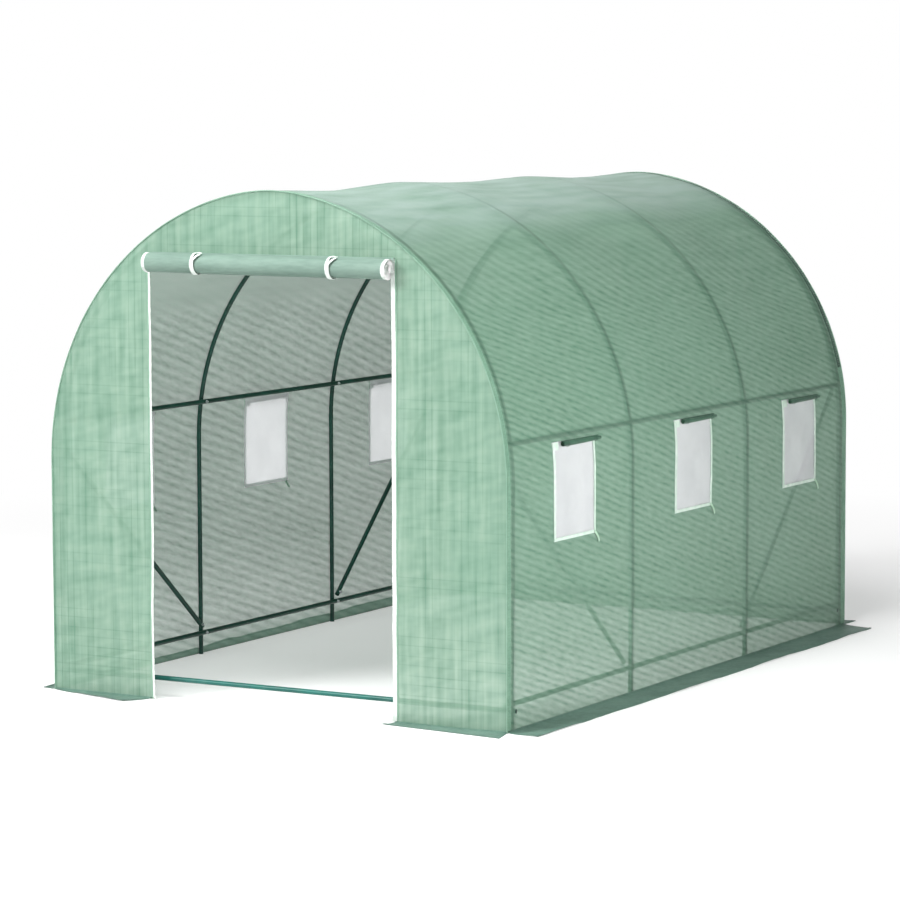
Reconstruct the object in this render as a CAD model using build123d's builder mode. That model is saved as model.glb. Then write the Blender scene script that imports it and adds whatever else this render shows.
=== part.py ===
from build123d import *
import math
import os

os.makedirs("parts", exist_ok=True)

# ---------------------------------------------------------------------------
# Garden polytunnel greenhouse: a steel hoop frame under a woven sheet cover.
# Millimetres. Origin on the ground under the middle of the tunnel, +Z up,
# the doorway faces -Y, +X is on the right when you stand facing the doorway.
# ---------------------------------------------------------------------------

# ---- cover: overall form ---------------------------------------------------
half_width = 1000.0        # outer face of the side walls
length = 3000.0            # front face to rear face
height = 1936.0            # ridge, outside
spring_z = 890.0           # where the straight wall runs into the arch
side_radius = 1050.0       # haunch radius of the three-centred arch
sheet = 3.0                # thickness of the cover panels in this model

# ---- frame tubes -----------------------------------------------------------
hoop_d = 18.0
rail_d = 19.0
brace_d = 19.0
hoop_inset = 14.5          # hoop centreline to the outer face of the cover
end_hoop_y = 1450.0        # first and last hoop
second_hoop_y = -505.0     # the two hoops between them
third_hoop_y = 518.0
tube_gap = 0.3             # tubes lie side by side with this gap
mid_rail_z = 1039.0
side_rail_z = 91.0
end_rail_z = 70.0

# ---- doorway ---------------------------------------------------------------
door_half = 530.0
door_top = 1602.0
roll_d = 78.0
roll_left, roll_right = -518.0, 538.0
roll_y = -1543.0
roll_z = 1658.0
strap_x = (-292.0, 297.0)
strap_w = 20.0
zip_w = 14.0
zip_t = 3.0
zip_low, zip_top = 6.0, 1695.0

# ---- windows ---------------------------------------------------------------
window_y = (-981.0, 13.0, 1016.0)   # centres
window_w = 337.0
window_low = 655.0
window_top = 1018.0
screen_t = 1.2
window_roll_d = 18.0
window_roll_len = 313.0
window_roll_shift = 17.5

# ---- ground flaps ----------------------------------------------------------
side_flap = 135.0
end_flap = 105.0
flap_t = 3.0
front_flap_left_in = -600.0
front_flap_right_in = 508.0

# ---- derived: three-centred arch -------------------------------------------
rise = height - spring_z
off = side_radius - half_width
top_radius = (side_radius ** 2 - off ** 2 - rise ** 2) / (2.0 * (side_radius - rise))
top_c = spring_z + rise - top_radius          # centre height of the crown arc
join_deg = math.degrees(math.atan2(top_c - spring_z, off))


def arch_point(inset, deg, side=1):
    """Point (x, z) of the arch, inset from the outer face, at a haunch angle
    up to join_deg and a crown angle above it. side is +1 right, -1 left."""
    a = math.radians(deg)
    if deg <= join_deg:
        x = -off + (side_radius - inset) * math.cos(a)
        z = spring_z + (side_radius - inset) * math.sin(a)
    else:
        x = (top_radius - inset) * math.cos(a)
        z = top_c + (top_radius - inset) * math.sin(a)
    return (side * x, z)


def haunch_deg(inset, z):
    """Haunch angle at which the inset arch reaches height z."""
    return math.degrees(math.asin((z - spring_z) / (side_radius - inset)))


def haunch_x(inset, z):
    return -off + math.sqrt((side_radius - inset) ** 2 - (z - spring_z) ** 2)


def gable_edges(inset):
    """Lines and arcs of the whole gable outline from the right foot over the
    crown to the left foot, inset from the outer face of the cover."""
    hw = half_width - inset
    mid = join_deg / 2.0
    top_mid = (join_deg + 90.0) / 2.0
    return [
        ("line", (hw, 0.0), (hw, spring_z)),
        ("arc", (hw, spring_z), arch_point(inset, mid), arch_point(inset, join_deg)),
        ("arc", arch_point(inset, join_deg), arch_point(inset, 90.0),
         arch_point(inset, join_deg, -1)),
        ("arc", arch_point(inset, join_deg, -1), arch_point(inset, mid, -1),
         (-hw, spring_z)),
        ("line", (-hw, spring_z), (-hw, 0.0)),
    ]


# =============================== hoops ======================================
# Each hoop is two straight legs and one bent tube that joins them.
hoop_names = ["hoop_front", "hoop_second", "hoop_third", "hoop_rear"]
hoop_ys = [-end_hoop_y, second_hoop_y, third_hoop_y, end_hoop_y]

for hoop_name, hy in zip(hoop_names, hoop_ys):
    foot_x = half_width - hoop_inset
    with BuildPart() as hoop:
        with BuildLine(Plane.XZ.offset(-hy)) as hoop_path:
            ThreePointArc((foot_x, spring_z), arch_point(hoop_inset, join_deg / 2.0),
                          arch_point(hoop_inset, join_deg))
            ThreePointArc(arch_point(hoop_inset, join_deg), arch_point(hoop_inset, 90.0),
                          arch_point(hoop_inset, join_deg, -1))
            ThreePointArc(arch_point(hoop_inset, join_deg, -1),
                          arch_point(hoop_inset, join_deg / 2.0, -1), (-foot_x, spring_z))
        with BuildSketch(Plane.XY.offset(spring_z)) as hoop_section:
            with Locations((foot_x, hy)):
                Circle(hoop_d / 2.0)
        sweep(path=hoop_path.line)
    hoop.part.label = hoop_name
    export_step(hoop.part, "parts/" + hoop_name + ".step")

for side_name, s in (("left", -1), ("right", 1)):
    with BuildPart() as legs:
        with BuildSketch(Plane.XY) as leg_section:
            with Locations(*[(s * (half_width - hoop_inset), hy) for hy in hoop_ys]):
                Circle(hoop_d / 2.0)
        extrude(amount=spring_z)
    legs.part.label = "legs_" + side_name
    export_step(legs.part, "parts/legs_" + side_name + ".step")

# =============================== rails ======================================
rail_half = end_hoop_y + 9.0
mid_rail_x = haunch_x(hoop_inset, mid_rail_z) - hoop_d / 2.0 - rail_d / 2.0 - tube_gap - 0.6
side_rail_x = half_width - hoop_inset - hoop_d / 2.0 - rail_d / 2.0 - tube_gap
end_rail_y = end_hoop_y - hoop_d / 2.0 - rail_d / 2.0 - tube_gap

for side_name, s in (("left", -1), ("right", 1)):
    with BuildPart() as mid_rail:
        with BuildSketch(Plane.XZ.offset(rail_half)) as mid_rail_section:
            with Locations((s * mid_rail_x, mid_rail_z)):
                Circle(rail_d / 2.0)
        extrude(amount=-2.0 * rail_half)
    mid_rail.part.label = "mid_rail_" + side_name
    export_step(mid_rail.part, "parts/mid_rail_" + side_name + ".step")

    with BuildPart() as bottom_rail:
        with BuildSketch(Plane.XZ.offset(rail_half)) as bottom_rail_section:
            with Locations((s * side_rail_x, side_rail_z)):
                Circle(rail_d / 2.0)
        extrude(amount=-2.0 * rail_half)
    bottom_rail.part.label = "bottom_rail_" + side_name
    export_step(bottom_rail.part, "parts/bottom_rail_" + side_name + ".step")

end_rail_half = half_width - hoop_inset + 9.0
for end_name, ey in (("front", -end_rail_y), ("rear", end_rail_y)):
    with BuildPart() as end_rail:
        with BuildSketch(Plane.YZ.offset(-end_rail_half)) as end_rail_section:
            with Locations((ey, end_rail_z)):
                Circle(rail_d / 2.0)
        extrude(amount=2.0 * end_rail_half)
    end_rail.part.label = "bottom_rail_" + end_name
    export_step(end_rail.part, "parts/bottom_rail_" + end_name + ".step")

# =============================== braces =====================================
# One slanting tube in each end bay on both sides: low at the inner hoop,
# high at the end hoop, on the inner face of the legs.
brace_low_x = half_width - hoop_inset - hoop_d / 2.0 - brace_d / 2.0 - tube_gap
brace_ends = {
    "front": ((second_hoop_y - 17.0, 118.0), (-end_hoop_y + 4.0, 915.0)),
    "rear": ((third_hoop_y + 10.0, 118.0), (end_hoop_y - 12.0, 1010.0)),
}
for side_name, s in (("left", -1), ("right", 1)):
    for end_name, (low, high) in brace_ends.items():
        high_x = haunch_x(hoop_inset, max(high[1] + 14.0, spring_z)) - hoop_d / 2.0 \
            - brace_d / 2.0 - tube_gap - 0.6
        start = Vector(s * brace_low_x, low[0], low[1])
        end = Vector(s * high_x, high[0], high[1])
        with BuildPart() as brace:
            with BuildSketch(Plane(origin=start, z_dir=end - start)) as brace_section:
                Circle(brace_d / 2.0)
            extrude(amount=(end - start).length)
        brace.part.label = "brace_" + side_name + "_" + end_name
        export_step(brace.part, "parts/brace_" + side_name + "_" + end_name + ".step")

# =============================== side walls =================================
# The upright part of the cover: a full-length strip up to the sills, and
# above it the cloth beside and between the three windows.
band_half = length / 2.0
window_edges = []
for wy in window_y:
    window_edges += [wy - window_w / 2.0, wy + window_w / 2.0]
strips = [(-band_half, window_edges[0]), (window_edges[1], window_edges[2]),
          (window_edges[3], window_edges[4]), (window_edges[5], band_half)]


def wall_band_outline(s, inset_out, inset_in, z_low, z_high):
    """Outline of the upright band between two heights, straight to the spring
    line and then on the haunch radius."""
    with BuildLine() as band:
        Line((s * (half_width - inset_out), z_low), (s * (half_width - inset_out), spring_z))
        top_out = haunch_deg(inset_out, z_high)
        top_in = haunch_deg(inset_in, z_high)
        ThreePointArc((s * (half_width - inset_out), spring_z),
                      arch_point(inset_out, top_out / 2.0, s), arch_point(inset_out, top_out, s))
        Line(arch_point(inset_out, top_out, s), arch_point(inset_in, top_in, s))
        ThreePointArc(arch_point(inset_in, top_in, s), arch_point(inset_in, top_in / 2.0, s),
                      (s * (half_width - inset_in), spring_z))
        Line((s * (half_width - inset_in), spring_z), (s * (half_width - inset_in), z_low))
        Line((s * (half_width - inset_in), z_low), (s * (half_width - inset_out), z_low))
    return band.edges()


for side_name, s in (("left", -1), ("right", 1)):
    with BuildPart() as wall_low:
        with BuildSketch(Plane.XY) as wall_low_plan:
            with Locations((s * (half_width - sheet / 2.0), 0.0)):
                Rectangle(sheet, length)
        extrude(amount=window_low)
    wall_low.part.label = "side_wall_" + side_name + "_lower"
    export_step(wall_low.part, "parts/side_wall_" + side_name + "_lower.step")

    strip_outline = wall_band_outline(s, 0.0, sheet, window_low, window_top)
    with BuildPart() as wall_high:
        for y0, y1 in strips:
            with BuildSketch(Plane.XZ.offset(-y0)) as strip_section:
                make_face(strip_outline)
            extrude(amount=-(y1 - y0))
    wall_high.part.label = "side_wall_" + side_name + "_upper"
    export_step(wall_high.part, "parts/side_wall_" + side_name + "_upper.step")

    # insect screens that fill the three windows
    screen_outline = wall_band_outline(s, 1.0, 1.0 + screen_t, window_low + 0.3,
                                       window_top - 0.3)
    with BuildPart() as screens:
        for wy in window_y:
            with BuildSketch(Plane.XZ.offset(-(wy - window_w / 2.0 + 0.3))) as screen_section:
                make_face(screen_outline)
            extrude(amount=-(window_w - 0.6))
    screens.part.label = "window_screens_" + side_name
    export_step(screens.part, "parts/window_screens_" + side_name + ".step")

    # rolled window flaps, tied up along the window heads
    roll_x = haunch_x(0.0, window_top - 20.0) + window_roll_d / 2.0 + 1.2
    with BuildPart() as rolls:
        for wy in window_y:
            y0 = wy + window_roll_shift - window_roll_len / 2.0
            with BuildSketch(Plane.XZ.offset(-y0)) as window_roll_section:
                with Locations((s * roll_x, window_top - 10.5)):
                    Circle(window_roll_d / 2.0)
            extrude(amount=-window_roll_len)
    rolls.part.label = "window_flaps_" + side_name
    export_step(rolls.part, "parts/window_flaps_" + side_name + ".step")

# =============================== roof =======================================
# The vault of the cover in strips that run the whole length.
for side_name, s in (("left", -1), ("right", 1)):
    low_out = haunch_deg(0.0, window_top)
    low_in = haunch_deg(sheet, window_top)
    half_join = (low_out + join_deg) / 2.0
    vault = [
        ("lower", (low_out, low_in), (half_join, half_join)),
        ("middle", (half_join, half_join), (join_deg, join_deg)),
        ("upper", (join_deg + 1e-7, join_deg + 1e-7), (90.0, 90.0)),
    ]
    for strip_name, (o0, i0), (o1, i1) in vault:
        with BuildPart() as roof:
            with BuildSketch(Plane.XZ.offset(length / 2.0)) as roof_section:
                with BuildLine():
                    ThreePointArc(arch_point(0.0, o0, s), arch_point(0.0, (o0 + o1) / 2.0, s),
                                  arch_point(0.0, o1, s))
                    Line(arch_point(0.0, o1, s), arch_point(sheet, i1, s))
                    ThreePointArc(arch_point(sheet, i1, s),
                                  arch_point(sheet, (i0 + i1) / 2.0, s),
                                  arch_point(sheet, i0, s))
                    Line(arch_point(sheet, i0, s), arch_point(0.0, o0, s))
                make_face()
            extrude(amount=-length)
        roof.part.label = "roof_" + side_name + "_" + strip_name
        export_step(roof.part, "parts/roof_" + side_name + "_" + strip_name + ".step")

# =============================== end walls ==================================
panel_inset = sheet + 0.4      # the end panels stand inside the walls and roof


with BuildLine() as gable_outline:
    for edge in gable_edges(panel_inset):
        if edge[0] == "line":
            Line(edge[1], edge[2])
        else:
            ThreePointArc(edge[1], edge[2], edge[3])
    Line((-(half_width - panel_inset), 0.0), (half_width - panel_inset, 0.0))

# Beside the doorway
for side_name, s in (("left", -1), ("right", 1)):
    with BuildPart() as panel:
        with BuildSketch(Plane.XZ.offset(length / 2.0)) as panel_face:
            make_face(gable_outline.edges())
            with Locations((s * (door_half + 1000.0), 1000.0)):
                Rectangle(2000.0, 2000.0, mode=Mode.INTERSECT)
        extrude(amount=-sheet)
    panel.part.label = "front_panel_" + side_name
    export_step(panel.part, "parts/front_panel_" + side_name + ".step")

# Over the doorway
with BuildPart() as header:
    with BuildSketch(Plane.XZ.offset(length / 2.0)) as header_face:
        make_face(gable_outline.edges())
        with Locations((0.0, door_top + 500.0)):
            Rectangle(2.0 * door_half, 1000.0, mode=Mode.INTERSECT)
    extrude(amount=-sheet)
header.part.label = "front_header"
export_step(header.part, "parts/front_header.step")

# The rear end is closed
with BuildPart() as rear_panel:
    with BuildSketch(Plane.XZ.offset(-length / 2.0)) as rear_face:
        make_face(gable_outline.edges())
    extrude(amount=sheet)
rear_panel.part.label = "rear_panel"
export_step(rear_panel.part, "parts/rear_panel.step")

# =============================== door ======================================
# The door sheet is rolled up to the head of the doorway and tied.
with BuildPart() as door_roll:
    with BuildSketch(Plane.YZ.offset(roll_left)) as door_roll_section:
        with Locations((roll_y, roll_z)):
            Circle(roll_d / 2.0)
    extrude(amount=roll_right - roll_left)
door_roll.part.label = "door_roll"
export_step(door_roll.part, "parts/door_roll.step")

with BuildPart() as door_straps:
    for sx in strap_x:
        with BuildSketch(Plane.YZ.offset(sx - strap_w / 2.0)) as strap_section:
            with Locations((roll_y, roll_z)):
                Circle(roll_d / 2.0 + 2.6)
                Circle(roll_d / 2.0 + 0.4, mode=Mode.SUBTRACT)
        extrude(amount=strap_w)
door_straps.part.label = "door_straps"
export_step(door_straps.part, "parts/door_straps.step")

with BuildPart() as door_zips:
    with BuildSketch(Plane.XZ.offset(length / 2.0)) as zip_face:
        with Locations((-door_half, (zip_top + zip_low) / 2.0), (door_half, (zip_top + zip_low) / 2.0)):
            Rectangle(zip_w, zip_top - zip_low)
    extrude(amount=zip_t)
door_zips.part.label = "door_zips"
export_step(door_zips.part, "parts/door_zips.step")

# =============================== ground flaps ===============================
flap_plans = {
    "ground_flap_left": (-half_width - side_flap, -half_width, -length / 2.0, length / 2.0),
    "ground_flap_right": (half_width, half_width + side_flap, -length / 2.0, length / 2.0),
    "ground_flap_front_left": (-half_width, front_flap_left_in,
                               -length / 2.0 - end_flap, -length / 2.0),
    "ground_flap_front_right": (front_flap_right_in, half_width,
                                -length / 2.0 - end_flap, -length / 2.0),
    "ground_flap_rear": (-half_width, half_width, length / 2.0, length / 2.0 + end_flap),
}
for flap_name, (x0, x1, y0, y1) in flap_plans.items():
    with BuildPart() as flap:
        with BuildSketch(Plane.XY) as flap_plan:
            with Locations(((x0 + x1) / 2.0, (y0 + y1) / 2.0)):
                Rectangle(x1 - x0, y1 - y0)
        extrude(amount=flap_t)
    flap.part.label = flap_name
    export_step(flap.part, "parts/" + flap_name + ".step")
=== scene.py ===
import math

import bpy
import numpy as np
from mathutils import Matrix, Vector


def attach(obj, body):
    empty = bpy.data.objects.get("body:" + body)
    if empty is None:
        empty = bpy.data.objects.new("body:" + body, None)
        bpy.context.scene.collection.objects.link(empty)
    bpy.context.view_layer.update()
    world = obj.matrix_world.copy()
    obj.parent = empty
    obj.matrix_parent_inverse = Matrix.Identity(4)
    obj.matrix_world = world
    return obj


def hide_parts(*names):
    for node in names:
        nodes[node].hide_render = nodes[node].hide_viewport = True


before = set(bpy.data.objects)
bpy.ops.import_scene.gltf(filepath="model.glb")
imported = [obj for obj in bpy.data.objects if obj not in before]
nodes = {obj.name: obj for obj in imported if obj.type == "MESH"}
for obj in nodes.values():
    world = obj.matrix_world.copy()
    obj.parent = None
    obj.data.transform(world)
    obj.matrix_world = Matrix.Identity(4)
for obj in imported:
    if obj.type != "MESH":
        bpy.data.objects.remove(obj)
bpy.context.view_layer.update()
scene = bpy.context.scene
PI = math.pi

# ---------------------------------------------------------------------------
# Measures of the tunnel, in metres, as the construction has them
# ---------------------------------------------------------------------------
HALF_W = 1.0
HALF_L = 1.5
SPRING = 0.890            # top of the straight wall
R_SIDE = 1.05             # haunch radius
RIDGE = 1.936             # height of the ridge
OFF = R_SIDE - HALF_W
RISE = RIDGE - SPRING
R_TOP = (R_SIDE ** 2 - OFF ** 2 - RISE ** 2) / (2 * (R_SIDE - RISE))   # crown radius
TOP_C = RIDGE - R_TOP
JOIN = math.atan2(TOP_C - SPRING, OFF)
U_SPRING = SPRING
U_JOIN = U_SPRING + R_SIDE * JOIN
U_RIDGE = U_JOIN + R_TOP * (PI / 2 - JOIN)
U_END = 2 * U_RIDGE       # the whole outline, right foot over the ridge to left foot
U_CORNER = U_SPRING + R_SIDE * math.radians(52.0)   # outline point beside the doorway's top corner
RAIL_DOWN = U_RIDGE - U_SPRING - R_SIDE * math.asin((1.039 - 0.890) / R_SIDE)   # side rail, metres down from the ridge

HOOP_Y = (-1.450, -0.505, 0.518, 1.450)
HOOP_INSET = 0.0145
HOOP_R, RAIL_R = 0.009, 0.0095
DOOR = 0.530
DOOR_TOP = 1.626
WINDOW_Y = (-0.9822, 0.0166, 1.0206)
WINDOW_W = 0.326
WINDOW_ROLL_Y = (-0.9440, 0.0500, 1.0530)
WINDOW_LOW = 0.655
WINDOW_TOP = 1.018
U_WIN_TOP = U_SPRING + R_SIDE * math.asin((WINDOW_TOP - SPRING) / R_SIDE)


def smooth(a, b, t):
    t = np.clip((np.asarray(t, float) - a) / (b - a), 0.0, 1.0)
    return t * t * (3 - 2 * t)


def _lattice(ix, iy, seed):
    h = (ix * 374761393 + iy * 668265263 + seed * 974634777) & 0xFFFFFFFF
    h = ((h ^ (h >> 13)) * 1274126177) & 0xFFFFFFFF
    h = h ^ (h >> 16)
    return (h & 0xFFFF) / 32767.5 - 1.0


def noise(x, y=0.0, seed=0):
    """Smooth noise from -1 to 1 on a unit lattice, the same on every run."""
    x, y = np.broadcast_arrays(np.asarray(x, float), np.asarray(y, float))
    ix, iy = np.floor(x).astype(np.int64), np.floor(y).astype(np.int64)
    fx, fy = x - ix, y - iy
    fx = fx * fx * fx * (fx * (fx * 6 - 15) + 10)
    fy = fy * fy * fy * (fy * (fy * 6 - 15) + 10)
    a = _lattice(ix, iy, seed) * (1 - fx) + _lattice(ix + 1, iy, seed) * fx
    b = _lattice(ix, iy + 1, seed) * (1 - fx) + _lattice(ix + 1, iy + 1, seed) * fx
    return a * (1 - fy) + b * fy


def arch(u, inset=0.0):
    """x, z and the outward direction of the outline at arc length u."""
    u = np.asarray(u, float)
    side = np.where(u > U_RIDGE, -1.0, 1.0)
    um = np.where(u > U_RIDGE, U_END - u, u)
    a = np.clip((um - U_SPRING) / R_SIDE, 0.0, JOIN)
    b = JOIN + np.clip((um - U_JOIN) / R_TOP, 0.0, None)
    low, mid = um <= U_SPRING, um <= U_JOIN
    x = np.where(low, HALF_W - inset,
                 np.where(mid, -OFF + (R_SIDE - inset) * np.cos(a), (R_TOP - inset) * np.cos(b)))
    z = np.where(low, um,
                 np.where(mid, SPRING + (R_SIDE - inset) * np.sin(a),
                          TOP_C + (R_TOP - inset) * np.sin(b)))
    nx = np.where(low, 1.0, np.where(mid, np.cos(a), np.cos(b)))
    nz = np.where(low, 0.0, np.where(mid, np.sin(a), np.sin(b)))
    return side * x, z, side * nx, nz


BAYS = ((HOOP_Y[0], HOOP_Y[1], 0.0105, 11), (HOOP_Y[1], HOOP_Y[2], 0.0065, 12), (HOOP_Y[2], HOOP_Y[3], 0.0125, 13))


def cover_out(u, y):
    """How far the cover stands outside the outline: it lies on the hoops and
    sinks a little between them over the roof."""
    u, y = np.broadcast_arrays(np.asarray(u, float), np.asarray(y, float))
    z = arch(u)[1]
    roof = smooth(0.98, 1.66, z)
    crown = smooth(1.35, 1.90, z)
    out = np.full(u.shape, -0.0044)
    free = np.zeros(u.shape)
    # the cloth rides a little high over the two inner hoops
    out = out + crown * (0.0080 * np.exp(-((y + 0.505) / 0.34) ** 2) + 0.0060 * np.exp(-((y - 0.518) / 0.30) ** 2))
    for a, b, deep, seed in BAYS:
        s = np.clip((y - a) / (b - a), 0.0, 1.0)
        p = 4 * s * (1 - s)
        p = 0.45 * p + 0.55 * np.sin(PI * s) ** 2
        free = free + p
        out = out - deep * roof * p * (1 + 0.16 * noise(u * 2.3, seed, seed))
    out = out + free * (1 - roof) * (0.0038 * noise(u * 1.9 + 3.1, y * 1.8, 5) + 0.0012)
    out = out + free * roof * 0.0026 * noise(u * 3.4, y * 2.6, 6)
    folds = noise(u * 10.5 + 0.6 * noise(y * 2.3, u * 1.1, 8), y * 1.9, 9)
    out = out + free * crown * (0.0016 + 0.0008 * noise(y * 1.3, 2.0, 10)) * folds
    out = out + free * 0.0009 * noise(u * 9.0, y * 5.0, 7)
    for k, hy in enumerate(HOOP_Y):
        d = np.abs(y - hy)
        pull = np.exp(-d / 0.11) * (1 - np.exp(-d / 0.022))
        out = out + pull * 0.0030 * roof * noise(u * 15.0 + 31 * k, np.sign(y - hy) * 3 + k, 21 + k)
        out = out + pull * 0.0010 * (1 - roof) * noise(u * 11.0 + 17 * k, np.sign(y - hy) * 5 + k, 25 + k)
    return out


def cover_point(u, y, extra=0.0):
    u, y = np.broadcast_arrays(np.asarray(u, float), np.asarray(y, float))
    x, z, nx, nz = arch(u, 0.0)
    o = cover_out(u, y) + extra
    return np.stack([x + nx * o, y, z + nz * o], -1)


def from_ridge(u):
    return np.abs(np.asarray(u, float) - U_RIDGE)


# ---------------------------------------------------------------------------
# Mesh helpers
# ---------------------------------------------------------------------------
def make(name, verts, faces, mats, uv=None, smoothed=True, mat_index=None):
    me = bpy.data.meshes.new(name)
    me.from_pydata(np.asarray(verts, float).reshape(-1, 3).tolist(), [], [list(map(int, f)) for f in faces])
    for m in (mats if isinstance(mats, (list, tuple)) else [mats]):
        me.materials.append(m)
    if uv is not None:
        layer = me.uv_layers.new(name="weave")
        idx = np.zeros(len(me.loops), np.int32)
        me.loops.foreach_get("vertex_index", idx)
        layer.data.foreach_set("uv", np.asarray(uv, float).reshape(-1, 2)[idx].ravel())
    if mat_index is not None:
        me.polygons.foreach_set("material_index", np.asarray(mat_index, np.int32))
    me.polygons.foreach_set("use_smooth", np.full(len(me.polygons), bool(smoothed)))
    me.update()
    ob = bpy.data.objects.new(name, me)
    scene.collection.objects.link(ob)
    return ob


def grid_faces(n, m, keep=None, flip=False):
    """Quads of an n by m grid of vertices; keep is an (n-1, m-1) mask."""
    i, j = np.meshgrid(np.arange(n - 1), np.arange(m - 1), indexing="ij")
    a = i * m + j
    q = np.stack([a, a + m, a + m + 1, a + 1], -1)
    if flip:
        q = q[..., ::-1]
    return q[keep] if keep is not None else q.reshape(-1, 4)


def grid_piece(name, P, mat, uv=None, keep=None, flip=False, smoothed=True, mat_index=None):
    n, m = P.shape[:2]
    faces = grid_faces(n, m, keep, flip)
    used = np.zeros(n * m, bool)
    used[faces.ravel()] = True
    new = np.cumsum(used) - 1
    return make(name, P.reshape(-1, 3)[used], new[faces], mat,
                None if uv is None else np.asarray(uv).reshape(-1, 2)[used], smoothed, mat_index)


def ticks(stops, step):
    """Even steps no longer than step, with every stop kept."""
    out = [stops[0]]
    for a, b in zip(stops[:-1], stops[1:]):
        n = max(1, int(math.ceil((b - a) / step - 1e-6)))
        out += [a + (b - a) * k / n for k in range(1, n + 1)]
    return np.array(out)


class Parts:
    """Gathers many small pieces into one mesh."""

    def __init__(self):
        self.v, self.f, self.m, self.n = [], [], [], 0

    def add(self, verts, faces, m=0):
        verts = np.asarray(verts, float).reshape(-1, 3)
        self.v.append(verts)
        for f in faces:
            self.f.append([int(k) + self.n for k in f])
            self.m.append(m)
        self.n += len(verts)

    def block(self, centre, ax, ay, az, m=0, taper=1.0):
        """A block with half axes ax, ay, az; its +az end is narrower by taper."""
        c, ax, ay, az = (np.asarray(q, float) for q in (centre, ax, ay, az))
        v = []
        for sz, t in ((-1, 1.0), (1, taper)):
            for sx, sy in ((-1, -1), (1, -1), (1, 1), (-1, 1)):
                v.append(c + ax * sx * t + ay * sy * t + az * sz)
        self.add(v, [(3, 2, 1, 0), (4, 5, 6, 7), (0, 1, 5, 4), (1, 2, 6, 5), (2, 3, 7, 6), (3, 0, 4, 7)], m)

    def prism(self, a, b, r0, r1, sides=12, m=0, turn=0.0, caps=True):
        """A straight round or many-sided bar from a to b."""
        a, b = np.asarray(a, float), np.asarray(b, float)
        d = (b - a) / np.linalg.norm(b - a)
        p = np.cross(d, (0, 0, 1.0) if abs(d[2]) < 0.9 else (1.0, 0, 0))
        p /= np.linalg.norm(p)
        q = np.cross(d, p)
        t = turn + np.arange(sides) * 2 * PI / sides
        ring = np.cos(t)[:, None] * p + np.sin(t)[:, None] * q
        v = np.concatenate([a + ring * r0, b + ring * r1])
        f = [(k, (k + 1) % sides, sides + (k + 1) % sides, sides + k) for k in range(sides)]
        if caps:
            f += [tuple(range(sides))[::-1], tuple(range(sides, 2 * sides))]
        self.add(v, f, m)

    def tube(self, path, r, sides=10, m=0, closed=False):
        """A round bar along a path of points."""
        P = np.asarray(path, float)
        n = len(P)
        if closed:
            T = np.roll(P, -1, 0) - np.roll(P, 1, 0)
        else:
            T = np.gradient(P, axis=0)
        T /= np.linalg.norm(T, axis=1)[:, None]
        N = np.zeros_like(P)
        ref = np.array((0, 0, 1.0)) if abs(T[0][2]) < 0.9 else np.array((1.0, 0, 0))
        N[0] = np.cross(T[0], ref)
        N[0] /= np.linalg.norm(N[0])
        for k in range(1, n):
            w = N[k - 1] - T[k] * (N[k - 1] @ T[k])
            N[k] = w / np.linalg.norm(w)
        B = np.cross(T, N)
        r = np.broadcast_to(np.asarray(r, float), (n,))
        t = np.arange(sides) * 2 * PI / sides
        v = (P[:, None] + r[:, None, None] * (np.cos(t)[None, :, None] * N[:, None] + np.sin(t)[None, :, None] * B[:, None])).reshape(-1, 3)
        f = []
        for k in range(n if closed else n - 1):
            k2 = (k + 1) % n
            for s in range(sides):
                s2 = (s + 1) % sides
                f.append((k * sides + s, k * sides + s2, k2 * sides + s2, k2 * sides + s))
        if not closed:
            f += [tuple(range(sides))[::-1], tuple((n - 1) * sides + s for s in range(sides))]
        self.add(v, f, m)

    def ribbon(self, centre, across, outward, width, thick, m=0, closed=False):
        """A flat band: centre line, the direction across it and the one it faces."""
        C, A, O = (np.asarray(q, float) for q in (centre, across, outward))
        A = np.broadcast_to(A, C.shape)
        O = np.broadcast_to(O, C.shape)
        n = len(C)
        w = np.broadcast_to(np.asarray(width, float), (n,))[:, None] / 2
        t = thick
        edge = 0.25 * t
        v = np.stack([C - A * w, C - A * (w - edge) + O * t, C + A * (w - edge) + O * t, C + A * w], 1).reshape(-1, 3)
        f = []
        for k in range(n if closed else n - 1):
            k2 = (k + 1) % n
            for s in range(4):
                s2 = (s + 1) % 4
                f.append((k * 4 + s, k2 * 4 + s, k2 * 4 + s2, k * 4 + s2))
        if not closed:
            f += [(0, 1, 2, 3), tuple((n - 1) * 4 + s for s in (3, 2, 1, 0))]
        self.add(v, f, m)

    def done(self, name, mats, smoothed=False):
        return make(name, np.concatenate(self.v), self.f, mats, None, smoothed, self.m)


def soften(ob, angle=40):
    """Smooth shading with sharp edges kept sharp."""
    me = ob.data
    me.polygons.foreach_set("use_smooth", np.ones(len(me.polygons), bool))
    me.set_sharp_from_angle(angle=math.radians(angle))


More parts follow.
